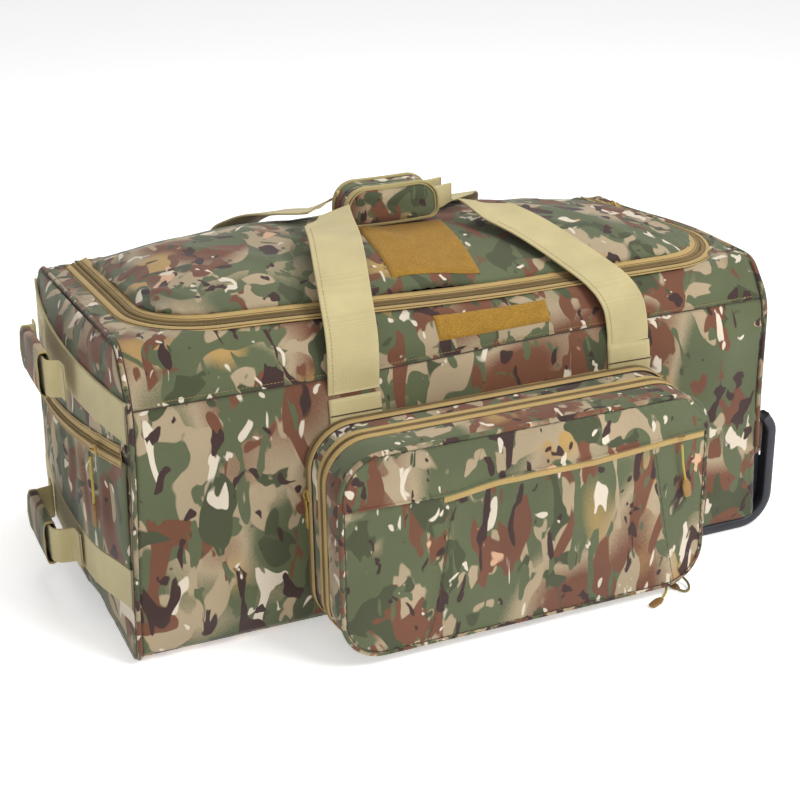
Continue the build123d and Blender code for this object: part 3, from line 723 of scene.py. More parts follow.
def left_end(y, z, out=0.0):
    """A point on the left end, out proud of it."""
    folds = 0.0
    edge = smooth((HALF_W - abs(y)) / 0.05) * smooth((DECK_Z - z) / 0.04)
    if z > 0.30:
        arc = math.hypot((y + 0.26) * 0.7, (z - 0.36) * 1.5)
        folds += 0.0024 * edge * math.sin(arc * 190) * smooth((z - 0.305) / 0.02) * smooth((0.05 - y) / 0.12)
    folds += 0.0022 * edge * wave(y, z, 31, 0.07)
    folds += 0.0020 * edge * crease(y, z * 0.4, 33, 0.06)
    return settle(Vector((-HALF_L - crown(y, z) - folds - out, y, z)))


def right_end(y, z, out=0.0):
    edge = smooth((end_half(z) - abs(y)) / 0.09) * smooth((DECK_Z - z) / 0.09) * smooth((z - 0.10) / 0.06)
    swell = 0.014 * edge + 0.0025 * edge * wave(y, z, 41, 0.09) + 0.002 * edge * crease(y, z, 43, 0.12)
    return settle(Vector((HALF_L + swell + out, y, z)))


def end_panel(name, surface, material, low, high):
    def at(u, v):
        z = mix(low, high, v)
        return surface((2 * u - 1) * end_half(z), z)

    panel = grid(name, material, at, 110, 90)
    return panel


left_panel = end_panel("end_left", left_end, CAMO_LEFT, BASE_Z + 0.001, DECK_Z - 0.001)
cup_low, cup_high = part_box("handle_cup")
kept = [tuple(p.vertices) for p in left_panel.data.polygons
        if not (abs(p.center.y) < cup_high.y and p.center.z < cup_high.z)]
cloth = add_object("end_left_cut", [v.co.copy() for v in left_panel.data.vertices], kept, CAMO_LEFT)
bpy.data.objects.remove(left_panel)
face_outwards(cloth, Vector((0, 0, 0.17)))
place(thicken(cloth, 0.0025, LINING), "bag", "camo_canvas", "left_end_panel")
cloth = end_panel("end_right", right_end, CAMO_RIGHT, 0.100, DECK_Z - 0.001)
face_outwards(cloth, Vector((0, 0, 0.17)))
place(thicken(cloth, 0.0025, LINING), "bag", "camo_canvas", "right_end_panel")


def end_seam(x, low_z, steps=150):
    """The section's outline at one end, from the floor at the back, over the top, to the floor in front."""
    total = SECTION.length
    marks = [total * i / steps for i in range(steps + 1)]
    out = []
    for side, run in ((1, reversed(marks)), (-1, marks[1:])):
        for s in run:
            y, z = SECTION.at(s)
            if z < low_z:
                continue
            along = SECTION.direction(s)
            normal = Vector((0, side * -along[1], along[0]))
            if normal.y * side * y + normal.z * (z - 0.17) < 0:
                normal = -normal
            out.append((settle(Vector((x, side * y, z))), X, normal.normalized()))
    return out


pipes = []
for name, x, low_z in (("left", -0.3986, 0.0), ("right", 0.3986, 0.105)):
    stations = end_seam(x, low_z)
    bead = [(a, b + 0.0004) for a, b in circle(0.0027, 10)]
    hoop = sweep(f"piping_{name}", CAMO_PIPE, stations, list(reversed(bead)), closed=low_z == 0.0)
    pipes.append(hoop)
    for offset in (-0.0036, 0.0036):
        line = [(p + X * offset + n * 0.0003, X, n) for p, _, n in stations]
        seam = sweep(f"piping_{name}_seam_{offset > 0}", DARK_THREAD, line, circle(0.0005, 4))
        place(seam, "bag", "camo_piping")
place(join("end_piping_beads", pipes), "bag", "camo_piping", "end_piping")


# ---- webbing bands and grab handles on the left end ----------------------------------------------
BAND_LOW = (0.262, 0.055)
BAND_W = 0.048


def band_lift(y, low=BAND_LOW[1]):
    """The lower band runs a little higher towards the end panel's edges; the upper one is level."""
    return 0.014 * smooth((abs(y) - 0.10) / 0.12) if low == BAND_LOW[1] else 0.0


def end_normal(y, z):
    a = left_end(y + 0.003, z) - left_end(y - 0.003, z)
    b = left_end(y, z + 0.003) - left_end(y, z - 0.003)
    n = a.cross(b).normalized()
    return n if n.x < 0 else -n


def plain_end(y, z, out=0.0):
    """The left end without its folds, for what is stitched to it."""
    return settle(Vector((-HALF_L - crown(y, z) - out, y, z)))


webs = []
for low in BAND_LOW:
    stations = []
    for i in range(61):
        y = mix(-0.2165, 0.2165, i / 60)
        z = low + BAND_W / 2 + band_lift(y, low)
        here = plain_end(y, z, 0.0002)
        across = (plain_end(y, z + 0.02, 0) - plain_end(y, z - 0.02, 0)).normalized()
        along = (plain_end(y + 0.004, z) - plain_end(y - 0.004, z)).normalized()
        stations.append((here, across, across.cross(along).normalized()))
    webs.append(sweep("band", WEBBING, stations, web_profile(BAND_W, 0.0034)))
place(join("end_bands_webbing", webs), "bag", "khaki_webbing", "end_bands")

HANDLE_HALF = 0.062
HANDLE_X = (-0.440, -0.452)
handle_webs = []
for low, far in zip(BAND_LOW, HANDLE_X):
    z = low + 0.024
    rest = -HALF_L - END_CROWN * (1 - (HANDLE_HALF / HALF_W) ** 2) - 0.0012
    foot = 0.018
    route = round_corners(
        [Vector((rest - 0.0035, -HANDLE_HALF - foot, z)), Vector((rest - 0.0045, -HANDLE_HALF, z)),
         Vector((far, -HANDLE_HALF + 0.004, z)), Vector((far, HANDLE_HALF - 0.004, z)),
         Vector((rest - 0.0045, HANDLE_HALF, z)), Vector((rest - 0.0035, HANDLE_HALF + foot, z))],
        [0, 0.004, 0.013, 0.013, 0.004, 0], steps=7)
    track = Track(route)
    stations = []
    for s in track.samples(0.003):
        here = track.at(s)
        along = track.direction(s)
        lean = 0.0015 * math.sin(here.y * 40 + low * 50)
        stations.append((here + Z * lean, Z, Z.cross(along).normalized()))
    handle_webs.append(sweep("grab", WEBBING, stations, web_profile(0.044, 0.0026, -0.0013)))
place(join("grab_handle_webbing", handle_webs), "bag", "khaki_webbing", "grab_handles")

pads = []
edges = []
for low, far in zip(BAND_LOW, HANDLE_X):
    z = low + 0.024

    def pad_at(u, v, z=z, far=far):
        y = mix(-0.045, 0.045, v)
        swell = 1 + 0.05 * math.sin(math.pi * v) + 0.03 * wave(y, u, 61, 0.02)
        turn = 2 * math.pi * u
        c, s = math.cos(turn), math.sin(turn)
        power = 0.55
        dx = 0.0072 * swell * math.copysign(abs(c) ** power, c)
        dz = 0.0262 * swell * math.copysign(abs(s) ** power, s)
        return Vector((far + dx, y, z + dz))

    pads.append(grid("pad", CAMO_PAD, pad_at, 40, 24, closed_columns=True))
    for y in (-0.045, 0.045):
        loop = [pad_at(i / 40, 0.0 if y < 0 else 1.0) for i in range(40)]
        middle = Vector((far, y, z))
        stations = [(p, Y, (p - middle).normalized()) for p in loop]
        edges.append(sweep("pad_edge", BINDING, stations, circle(0.0016, 6), closed=True))
place(join("grab_wrap_pads", pads), "bag", "wrap_canvas", "grab_wraps")
place(join("grab_wrap_edges", edges), "bag", "khaki_webbing")

boxes = []
for low in BAND_LOW:
    for y in (-HANDLE_HALF - 0.011, HANDLE_HALF + 0.011):
        z = low + 0.024
        corners = [(-0.008, -0.019), (0.008, -0.019), (0.008, 0.019), (-0.008, 0.019)]
        for (y0, z0), (y1, z1) in list(zip(corners, corners[1:] + corners[:1])) + [(corners[0], corners[2]),
                                                                                (corners[1], corners[3])]:
            a = plain_end(y + y0, z + z0, 0.0075)
            b = plain_end(y + y1, z + z1, 0.0075)
            span = (b - a).length
            for k in range(int(span / 0.0036)):
                boxes.append((a.lerp(b, (k + 0.5) * 0.0036 / span), (b - a).normalized(), end_normal(y, z)))
place(stitches("grab_box_stitches", BINDING, boxes), "bag", "khaki_webbing")

# ---- end pocket ----------------------------------------------------------------------------------
ZIP_SLOPE = -0.14


def zip_height(y):
    return 0.2163 + ZIP_SLOPE * y


def pocket_skin(y, z, out=0.0):
    """The flat pocket on the left end, with the folds that hang from its zipper."""
    drop = smooth((zip_height(y) - z) / 0.03)
    hang = 0.0024 * drop * math.sin(y * 150 + 3 * wave(y, z, 51, 0.06)) * smooth((z - 0.115) / 0.05)
    return plain_end(y, z, 0.0034 + hang + out)


def end_pocket_at(low_of, high_of):
    def at(u, v):
        y = mix(-0.2135, 0.2135, u)
        return pocket_skin(y, mix(low_of(y), high_of(y), v))
    return at


lower = grid("end_pocket_lower", CAMO_FACE_SIDE,
             end_pocket_at(lambda y: 0.104 + band_lift(y), lambda y: zip_height(y) - 0.006), 110, 40)
upper = grid("end_pocket_upper", CAMO_PAD,
             end_pocket_at(lambda y: zip_height(y) + 0.006, lambda y: 0.2645), 110, 16)
for cloth in (lower, upper):
    face_outwards(cloth, Vector((0, 0, 0.17)))
    thicken(cloth, 0.0012)
place(lower, "bag", "camo_canvas", "end_pocket")
place(upper, "bag", "camo_canvas")


def end_zip_stations(step, start=-0.205, finish=0.168, out=0.0038):
    track = Track([pocket_skin(mix(start, finish, i / 200), zip_height(mix(start, finish, i / 200)), 0)
                   for i in range(201)])
    rows = []
    for s in track.samples(step):
        here = track.at(s)
        along = track.direction(s)
        up = end_normal(here.y, here.z)
        across = up.cross(along).normalized()
        rows.append((here + up * (out - 0.0034), across, up))
    return rows


tape = sweep("end_zip_tape", TAPE, end_zip_stations(0.005), web_profile(0.026, 0.0016))
place(tape, "bag", "zip_tape", "end_zip")
rows = end_zip_stations(0.0018, out=0.0052)
coil = join("end_zip_coil", [teeth("a", COIL, rows, 0.0018, 0.0004, 0.0040, 0.0018),
                             teeth("b", COIL, rows, 0.0018, -0.0040, -0.0004, 0.0018)])
place(coil, "bag", "zip_tape")
threads = []
for across_at in (-0.0105, 0.0105):
    for here, across, up in end_zip_stations(0.0036, out=0.0052):
        threads.append((here + across * across_at, across.cross(up), up))
place(stitches("end_zip_stitches", DARK_THREAD, threads), "bag", "zip_tape")


# ---- lid -----------------------------------------------------------------------------------------
def lid_height(x, y):
    """The lid's crowned top, with a few soft folds."""
    inner = LID_EDGE + 0.004
    across = max(0.0, 1 - abs(y / inner) ** 2.5)
    lengthways = 1.0
    if x < -0.24:
        lengthways = max(0.0, 1 - ((-0.24 - x) / (LID_LEFT + 0.24 - 0.001) * -1) ** 2.2)
    if x > 0.14:
        lengthways = max(0.0, 1 - ((x - 0.14) / (LID_RIGHT - 0.14 + 0.001)) ** 2.1)
    inside = min(1.0, across * 3) * min(1.0, lengthways * 3)
    rise = 0.0385 * across * lengthways + 0.0035 * inside * wave(x, y, 71, 0.13)
    rise += 0.0040 * inside * crease(x * 0.8 + y * 0.5, y * 0.35, 73, 0.11)
    rise += 0.0030 * (1 - lengthways) * inside * crease(x * 0.3, y - x * 0.4, 75, 0.05)
    return LID_RIM + rise


def lid_surface(x, y, out=0.0):
    return settle(Vector((x, y, lid_height(x, y) + out)))


LID_IN = 0.0115


def lid_front(x):
    """Where the lid's cloth starts in front, at x."""
    left, right = LID_LEFT + LID_IN, LID_RIGHT - LID_IN
    corner = LID_CORNER - LID_IN
    edge = -LID_EDGE + LID_IN
    off = max(0.0, left + corner - x, x - (right - corner))
    return edge + corner - math.sqrt(max(0.0, corner ** 2 - off ** 2))


def lid_at(u, v):
    left, right = LID_LEFT + LID_IN, LID_RIGHT - LID_IN
    middle = (left + right) / 2
    x = middle - (right - middle) * math.cos(math.pi * u) * (1 - 0.25 * math.sin(math.pi * u) ** 2)
    y = mix(lid_front(x), LID_EDGE, v)
    reach = min(y - lid_front(x), (x - left) * 1.5, (right - x) * 1.5)
    d = 0.0010 * math.exp(-reach / 0.012) * math.sin(x * 400 + 3 * wave(x, y, 4, 0.05))
    return lid_surface(x, y, d - 0.0030 * math.exp(-reach / 0.006))


lid_cloth = grid("lid_top", CAMO_LID, lid_at, 150, 70)
face_outwards(lid_cloth, Vector((0, 0, 0.1)))
place(thicken(lid_cloth, 0.003, LINING), "lid", "camo_canvas", "lid_panel")


def hinge_at(u, v):
    """The cloth strip that hinges the lid along its back edge."""
    x = mix(LID_LEFT + 0.002, LID_RIGHT - 0.002, u)
    y = mix(0.1555, 0.1845, v)
    t = smooth(v / 0.75)
    rise = mix(lid_height(x, min(y, 0.1665)) - DECK_Z - 0.0005, 0.0016, t)
    d = 0.0006 * math.sin(x * 330 + 2 * wave(x, y, 14, 0.05))
    return settle(Vector((x, y, DECK_Z + rise + d)))


hinge = grid("lid_hinge_cloth", CAMO_TOP, hinge_at, 150, 14)
face_outwards(hinge, Vector((0, 0, 0.1)))
thicken(hinge, 0.0018, LINING)
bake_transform(hinge)


def lid_zip(step, offset, lift, tilt=0.0, back=LID_EDGE):
    """Stations along the main zipper: offset outwards from its middle and lift above the deck."""
    track = Track(lid_outline(0.0, back, 14))
    rows = []
    for s in track.samples(step):
        here = track.at(s)
        along = track.direction(s)
        out = along.cross(Z).normalized()
        up = (Z + out * tilt).normalized()
        across = along.cross(up).normalized()
        point = settle(Vector((here.x, here.y, DECK_Z)) + out * offset + Z * lift)
        rows.append((point, across, up))
    return rows


def flat_profile(low, high, thick):
    return [(low, 0.0), (low, thick * 0.7), (low + 0.0007, thick), (high - 0.0007, thick), (high, thick * 0.6),
            (high, 0.0)]


deck_tape = sweep("deck_zip_flat", TAPE, lid_zip(0.006, 0.0, 0.0012, 0.10),
                  list(reversed(flat_profile(0.0042, 0.0165, 0.0015))))
place(deck_tape, "bag", "zip_tape", "deck_zip_tape")
lid_tape = sweep("lid_zip_flat", TAPE, lid_zip(0.006, 0.0, 0.0016, 0.42),
                 list(reversed(flat_profile(-0.0145, -0.0046, 0.0015))))
place(lid_tape, "lid", "zip_tape", "lid_zip_tape")
deck_under = sweep("deck_zip_gutter", BINDING, lid_zip(0.006, 0.0, 0.0006, 0.2),
                   list(reversed(flat_profile(0.0006, 0.0058, 0.0010))))
place(deck_under, "bag", "zip_tape")
lid_under = sweep("lid_zip_gutter", BINDING, lid_zip(0.006, 0.0, 0.0008, 0.2),
                  list(reversed(flat_profile(-0.0060, -0.0006, 0.0010))))
place(lid_under, "lid", "zip_tape")
deck_coil = teeth("deck_zip_coil", COIL, lid_zip(0.0023, 0.0, 0.0017, 0.22), 0.0023, 0.0004, 0.0056, 0.0028)
place(deck_coil, "bag", "zip_tape")
lid_coil = teeth("lid_zip_coil", COIL, lid_zip(0.0023, 0.0, 0.0017, 0.22), 0.0023, -0.0056, -0.0004, 0.0028)
place(lid_coil, "lid", "zip_tape")
for name, body, at_x, tilt in (("deck", "bag", 0.0064, 0.10), ("deck_outer", "bag", 0.0150, 0.10),
                               ("lid", "lid", -0.0068, 0.42)):
    line = [(p + a * at_x + u * 0.0016, a, u) for p, a, u in lid_zip(0.006, 0.0, 0.0014, tilt)]
    place(sweep(f"{name}_zip_seam", DARK_THREAD, line, circle(0.0005, 4)), body, "zip_tape")
threads = [(p + a * 0.0140 + u * 0.0030, a.cross(u), u) for p, a, u in lid_zip(0.0038, 0.0, 0.0012, 0.10)]
place(stitches("deck_zip_stitches", THREAD, threads), "bag", "zip_tape")


def lid_slider(x, y, body):
    """The main zipper's slider, its bridge and its puller."""
    z = DECK_Z + 0.0052
    base = settle(Vector((x, y, z)))
    shoe = [(base + Y * (mix(-0.009, 0.009, i / 8)), X, Z) for i in range(9)]
    width = [0.0050, 0.0066, 0.0072, 0.0070, 0.0064, 0.0060, 0.0058, 0.0056, 0.0050]
    verts = []
    faces = []
    for (p, a, n), w in zip(shoe, width):
        ring = [(-w, -0.0012), (-w, 0.0012), (-w * 0.7, 0.0026), (w * 0.7, 0.0026), (w, 0.0012), (w, -0.0012)]
        verts += [p + a * u + n * v for u, v in ring]
    for j in range(8):
        for i in range(6):
            k = (i + 1) % 6
            faces.append((j * 6 + i, (j + 1) * 6 + i, (j + 1) * 6 + k, j * 6 + k))
    faces += [tuple(range(6)), tuple(48 + i for i in reversed(range(6)))]
    body_part = add_object("a", verts, faces, ENAMEL)
    arch = [base + Y * (0.006 * math.cos(t)) + Z * (0.0024 + 0.0038 * math.sin(t))
            for t in [math.pi * i / 10 for i in range(11)]]
    track = Track(arch)
    bridge = sweep("b", ENAMEL, [(track.at(s), X, track.direction(s).cross(X)) for s in track.samples(0.0008)],
                   circle(0.0010, 8))
    plate_path = [base + Y * (-0.006 - 0.034 * i / 10) + Z * (0.0046 - 0.0044 * smooth(i / 4)) for i in range(11)]
    plate = sweep("c", ENAMEL, [(p, X, Z) for p in plate_path],
                  [(0.0036, 0), (0.0036, 0.0014), (-0.0036, 0.0014), (-0.0036, 0)])
    whole = join("lid_slider_metal", [body_part, bridge, plate])
    return place(whole, body, "slider_metal", "lid_slider")


lid_slider(LID_RIGHT + 0.0035, 0.109, "lid_zip_slider")


def cloth_tile(name, material, surface, corners, thick, columns, rows, fluff=0.0):
    """A flat patch sewn on a surface: corners are (x, y) from the back left, the way round."""
    a, b, c, d = [Vector((p[0], p[1], 0)) for p in corners]

    def at(u, v):
        p = a.lerp(b, u).lerp(d.lerp(c, u), v)
        edge = min(u, 1 - u) * (b - a).length, min(v, 1 - v) * (d - a).length
        rise = thick * (1 - math.exp(-min(edge) / 0.0012)) + fluff * noise.noise(p * 900)
        return surface(p.x, p.y, rise + 0.0002)

    return grid(name, material, at, columns, rows)


patch = cloth_tile("lid_loop_patch", LOOP, lid_surface,
                   [(-0.052, -0.004), (0.058, -0.012), (0.046, -0.145), (-0.062, -0.140)], 0.0032, 60, 64,
                   0.0004)
face_outwards(patch, Vector((0, 0, 0.1)))
place(patch, "lid", "loop_patch", "lid_patch")


def slope_surface(x, y, out):
    """The sloping band in front, read by its y."""
    low, high = 0.0, SEAM_S
    for _ in range(30):
        middle = (low + high) / 2
        if SECTION.at(middle)[0] < -y:
            low = middle
        else:
            high = middle
    return shell(x, low, -1, out)


strip = cloth_tile("name_loop_strip", LOOP, slope_surface,
                   [(-0.036, -0.1915), (0.104, -0.1915), (0.104, -0.2080), (-0.036, -0.2080)], 0.0026, 80, 18,
                   0.0003)
face_outwards(strip, Vector((0, 0, 0.1)))
place(strip, "bag", "loop_patch", "name_strip")

# ---- seams of the shell --------------------------------------------------------------------------
for side, name in ((-1, "front"), (1, "back")):
    for offset, look in ((0.0, DARK_THREAD), (-0.004, THREAD)):
        rows = []
        for i in range(201):
            x = mix(-WRAP_X + 0.002, WRAP_X - 0.002, i / 200)
            here, along, out = shell_frame(x, SEAM_S + offset, side)
            rows.append((here + out * 0.0003, out.cross(along), out))
        if look == DARK_THREAD:
            seam = sweep(f"seam_{name}", look, rows, circle(0.0006, 4))
            place(seam, "bag", "camo_canvas")
        else:
            track = Track([p for p, _, _ in rows])
            marks = []
            for s in track.samples(0.0040):
                x = track.at(s).x
                here, along, out = shell_frame(x, SEAM_S + offset, side)
                marks.append((here + out * 0.0004, along, out))
            place(stitches(f"seam_{name}_stitches", look, marks), "bag", "camo_canvas")


# ---- carry straps --------------------------------------------------------------------------------
STRAP_T = 0.0028
BAR_Z = (0.4035, 0.4315)
BAR_Y = 0.0145
BAR_X = (-0.066, 0.070)
LEFT_LEG = [(-0.1435, 0.2806, 0.2245), (-0.1435, 0.305, 0.2240), (-0.142, 0.338, 0.217), (-0.140, 0.368, 0.202),
            (-0.132, 0.398, 0.166), (-0.117, 0.415, 0.110), (-0.101, 0.418, 0.052), (-0.092, 0.421, 0.021)]
RIGHT_LEG = [(0.196, 0.2806, 0.2245), (0.195, 0.300, 0.2225), (0.191, 0.328, 0.215), (0.181, 0.350, 0.193),
             (0.163, 0.370, 0.153), (0.138, 0.388, 0.107), (0.112, 0.404, 0.058), (0.093, 0.414, 0.022)]
BACK_LEFT_LEG = [(-0.1435, 0.2806, 0.2245), (-0.141, 0.302, 0.2228), (-0.139, 0.330, 0.216),
                 (-0.135, 0.352, 0.196),
                 (-0.124, 0.370, 0.158), (-0.110, 0.386, 0.110), (-0.098, 0.402, 0.058), (-0.090, 0.414, 0.022)]
BACK_RIGHT_LEG = [(0.196, 0.2806, 0.2245), (0.195, 0.300, 0.2225), (0.190, 0.326, 0.214), (0.178, 0.346, 0.192),
                  (0.158, 0.362, 0.153), (0.130, 0.378, 0.107), (0.102, 0.394, 0.058), (0.080, 0.405, 0.022)]


def strap_leg(name, stations, side, lean, width):
    """One webbing leg: flat on the bag's side at its foot, folding to a slanted tip at the grip."""
    points = spline_points([Vector((x, side * y, z)) for x, z, y in stations], 90)
    track = Track(points)
    rows = []
    widths = []
    for s in track.samples(0.004):
        here = track.at(s)
        along = track.direction(s)
        across = (X - along * X.dot(along)).normalized()
        up = across.cross(along).normalized()
        if up.y * side < 0 and up.z < 0:
            up = -up
        near = smooth((s - track.length + 0.050) / 0.050)
        curl = 0.0014 * math.sin(s * 45 + side)
        rows.append((here + up * curl, across, up))
        widths.append(near)
    verts = []
    faces = []
    profile = web_profile(width, STRAP_T, -STRAP_T / 2)
    n = len(profile)
    for (p, a, u), near in zip(rows, widths):
        for x, y in profile:
            wide = mix(x, x * 0.62 + 0.008 * lean, near)
            rise = 0.014 * near * lean * x / width
            verts.append(p + a * wide + u * y + Z * rise)
    for j in range(len(rows) - 1):
        for i in range(n):
            m = (i + 1) % n
            faces.append((j * n + i, j * n + m, (j + 1) * n + m, (j + 1) * n + i))
    faces += [tuple(range(n)), tuple((len(rows) - 1) * n + i for i in reversed(range(n)))]
    leg = add_object(name, verts, faces, WEBBING)
    face_outwards(leg, track.at(track.length / 2))
    seams = []
    for s in track.samples(0.0042):
        if s > track.length - 0.055:
            break
        along = track.direction(s)
        across = (X - along * X.dot(along)).normalized()
        up = across.cross(along).normalized()
        if up.dot(Vector((0, side, 1))) < 0:
            up = -up
        curl = 0.0014 * math.sin(s * 45 + side)
        seams.append((track.at(s) + up * (curl + STRAP_T * 0.42) - across * (width / 2 - 0.006), along, up))
    return leg, seams


def grip_bar(side):
    """The folded webbing that runs through the padded wrap."""
    y = side * BAR_Y
    tall = (BAR_Z[1] - BAR_Z[0]) / 2
    mid = (BAR_Z[0] + BAR_Z[1]) / 2
    profile = [(-tall, -0.0016), (-tall + 0.001, -0.0024), (tall - 0.002, -0.0024), (tall, -0.0008),
               (tall, 0.0008),
               (tall - 0.002, 0.0024), (-tall + 0.001, 0.0024), (-tall, 0.0016)]
    rows = []
    for i in range(41):
        x = mix(BAR_X[0], BAR_X[1], i / 40)
        narrow = smooth((abs(x) - 0.052) / 0.02)
        lift = Z * (0.004 * narrow)
        rows.append((Vector((x, y, mid)) + lift, Z * (1 - 0.18 * narrow), Y * (1 - 0.4 * narrow)))
    bar = sweep("bar", WEBBING, rows, profile)
    face_outwards(bar, Vector((0, y, mid)))
    return bar


WRAP_X_MID = -0.009
WRAP_Z = 0.4185


def wrap_half(side, name):
    """Half of the padded grip: a D-shaped pad with a crowned face and a bound rim, outside one strap's bar."""
    wide, tall = 0.060, 0.0225
    corners = [Vector((WRAP_X_MID, 0, WRAP_Z - tall)), Vector((WRAP_X_MID + wide, 0, WRAP_Z - tall)),
               Vector((WRAP_X_MID + wide * 0.97, 0, WRAP_Z + tall)),
               Vector((WRAP_X_MID - wide * 0.97, 0, WRAP_Z + tall)),
               Vector((WRAP_X_MID - wide, 0, WRAP_Z - tall))]
    outline = Track(round_corners(corners, [0, 0.011, 0.026, 0.026, 0.011], closed=True, steps=10), closed=True)
    middle = Vector((WRAP_X_MID, 0, WRAP_Z))

    def at(u, v):
        rim = outline.at(outline.length * u)
        if v < 0.25:
            inward, depth = 1 - 0.03 * (1 - v / 0.25), mix(0.0008, 0.0190, v / 0.25)
        else:
            t = (v - 0.25) / 0.75
            inward = 1 - t
            depth = 0.0190 + 0.0078 * (1 - (1 - t) ** 3.0) + 0.0020 * math.sin(math.pi * t) * smooth(t * 4)
        flat = middle + (rim - middle) * inward
        lump = 0.0007 * wave(flat.x, flat.z, 81 + side, 0.018) * (1 - inward)
        sag = 0.0016 * (1 - ((flat.x - WRAP_X_MID) / wide) ** 2)
        return Vector((flat.x, side * (depth + lump), flat.z - sag + 0.001))

    pad = grid(f"{name}_skin", CAMO_PAD, at, 96, 28, closed_columns=True)
    rim = [at(i / 96, 0.0) for i in range(96)]
    verts = [v.co.copy() for v in pad.data.vertices] + [Vector((WRAP_X_MID, side * 0.0008, WRAP_Z))]
    faces = [tuple(p.vertices) for p in pad.data.polygons]
    last = len(verts) - 1
    faces += [(last, (i + 1) % 96, i) for i in range(96)]
    bpy.data.objects.remove(pad)
    closed = add_object(f"{name}_pad", verts, faces, CAMO_PAD)
    face_outwards(closed, Vector((WRAP_X_MID, side * 0.012, WRAP_Z)))
    bound = []
    for v, reach in ((0.235, 0.0034), (0.30, 0.0009)):
        loop = [at(i / 96, v) for i in range(96)]
        rows = []
        for i, p in enumerate(loop):
            a = (loop[(i + 1) % 96] - loop[i - 1]).normalized()
            out = (at(i / 96, 0.18) - Vector((WRAP_X_MID, side * 0.012, WRAP_Z)))
            out = (out - a * out.dot(a)).normalized() if v < 0.3 else Y * side
            rows.append((p, a.cross(out).normalized(), out))
        rim_profile = [(-reach, -0.0010), (-reach, 0.0010), (-reach * 0.5, 0.0018), (reach * 0.5, 0.0018),
                       (reach, 0.0010), (reach, -0.0010)]
        bound.append(sweep("bound", BINDING, rows, rim_profile, closed=True))
    for piece in bound:
        face_outwards(piece, Vector((WRAP_X_MID, side * 0.012, WRAP_Z)))
    return closed, join(f"{name}_binding", bound)


for side, face, left, right in ((-1, "front", LEFT_LEG, RIGHT_LEG), (1, "back", BACK_LEFT_LEG, BACK_RIGHT_LEG)):
    body = f"{face}_carry_strap"
    leg_a, seams_a = strap_leg("leg_a", left, side, 1, 0.060)
    leg_b, seams_b = strap_leg("leg_b", right, side, -1, 0.054)
    webs = join(f"{face}_strap_webbing", [leg_a, leg_b, grip_bar(side)])
    place(webs, body, "khaki_webbing", f"{face}_strap")
    place(stitches(f"{face}_strap_stitches", BINDING, seams_a + seams_b, 0.0028), body, "khaki_webbing")
    pad, binding = wrap_half(side, f"{face}_wrap")
    place(pad, body, "wrap_canvas", f"{face}_grip_wrap")
    place(binding, body, "khaki_webbing")
    for middle, width, replaced in ((-0.1435, 0.060, [f"{face}_strap_ends"]), (0.196, 0.054, [])):
        low = 0.238 if side < 0 else 0.2475

        def foot_at(u, v, middle=middle, width=width, low=low, side=side):
            z = mix(low, 0.2812, v)
            return shell(middle + width * (u - 0.5), section_mark(z), side, 0.0032)

        foot = grid(f"{face}_strap_foot", WEBBING, foot_at, 12, 8)
        face_outwards(foot, Vector((middle, 0, 0.26)))
        place(thicken(foot, 0.0026), "bag", "khaki_webbing", *replaced)
        line = [(foot_at(i / 10, 0.5 if side < 0 else 0.2) + Y * side * 0.0002, Z, Y * side) for i in range(11)]
        place(sweep(f"{face}_foot_hem", DARK_THREAD, line, circle(0.0008, 4)), "bag", "khaki_webbing")


# ---- front pocket --------------------------------------------------------------------------------
def pocket_outline(grow):
    """The pocket's rounded outline as seen from the front, anticlockwise from the middle of its floor."""
    left, right = POCKET_X - POCKET_HALF - grow, POCKET_X + POCKET_HALF + grow
    low, high = POCKET_LOW - grow, POCKET_TOP + grow
    r = POCKET_R + grow
    corners = [Vector((POCKET_X, 0, low)), Vector((right, 0, low)), Vector((right, 0, high)),
               Vector((left, 0, high)),
               Vector((left, 0, low))]
    return Track(round_corners(corners, [0, r, r, r, r], closed=True, steps=12), closed=True)


POCKET_MIDDLE_Z = 0.133
OUTLINE = pocket_outline(0.0)


def pocket_edge(s):
    """Point and outward normal on the outline."""
    here = OUTLINE.at(s)
    along = OUTLINE.direction(s)
    out = along.cross(Y).normalized()
    away = here - Vector((POCKET_X, 0, POCKET_MIDDLE_Z))
    return here, out * (1 if along.cross(Y).dot(away) > 0 else -1)


def gusset(name, material, back, front, proud, body, slot, *replaced, ripple=0.0012, folds=0.0):
    """A cloth band of the pocket's gusset between two depths."""
    def at(u, v):
        here, out = pocket_edge(OUTLINE.length * u)
        y = -mix(back, front, v)
        lump = ripple * wave(OUTLINE.length * u, y, 91, 0.045) + folds * math.sin(math.pi * v)
        lump *= smooth((out.z + 1.0) / 0.5)
        edge = math.exp(-min(v, 1 - v) * (front - back) / 0.003)
        seam = -0.0007 * edge * (1 + 0.6 * math.sin(OUTLINE.length * u * 430))
        return Vector((here.x, y, here.z)) + out * (proud + lump + seam)

    cloth = grid(name, material, at, 260, 12, closed_columns=True)
    face_outwards(cloth, Vector((POCKET_X, -mix(back, front, 0.5), POCKET_MIDDLE_Z)))
    thicken(cloth, 0.0022, LINING)
    return place(cloth, body, slot, *replaced)


def low_limit(rows, limit):
    """The stations above a height, in order, starting at the first after the gap."""
    kept = [r for r in rows if r[0].z > limit]
    jump = max(range(len(kept)), key=lambda i: (kept[i][0] - kept[i - 1][0]).length)
    return kept[jump:] + kept[:jump]


def edge_rows(step, depth, proud, limit=None):
    count = round(OUTLINE.length / step)
    rows = []
    for i in range(count):
        here, out = pocket_edge(OUTLINE.length * i / count)
        rows.append((Vector((here.x, -depth, here.z)) + out * proud, -Y, out))
    return low_limit(rows, limit) if limit else rows


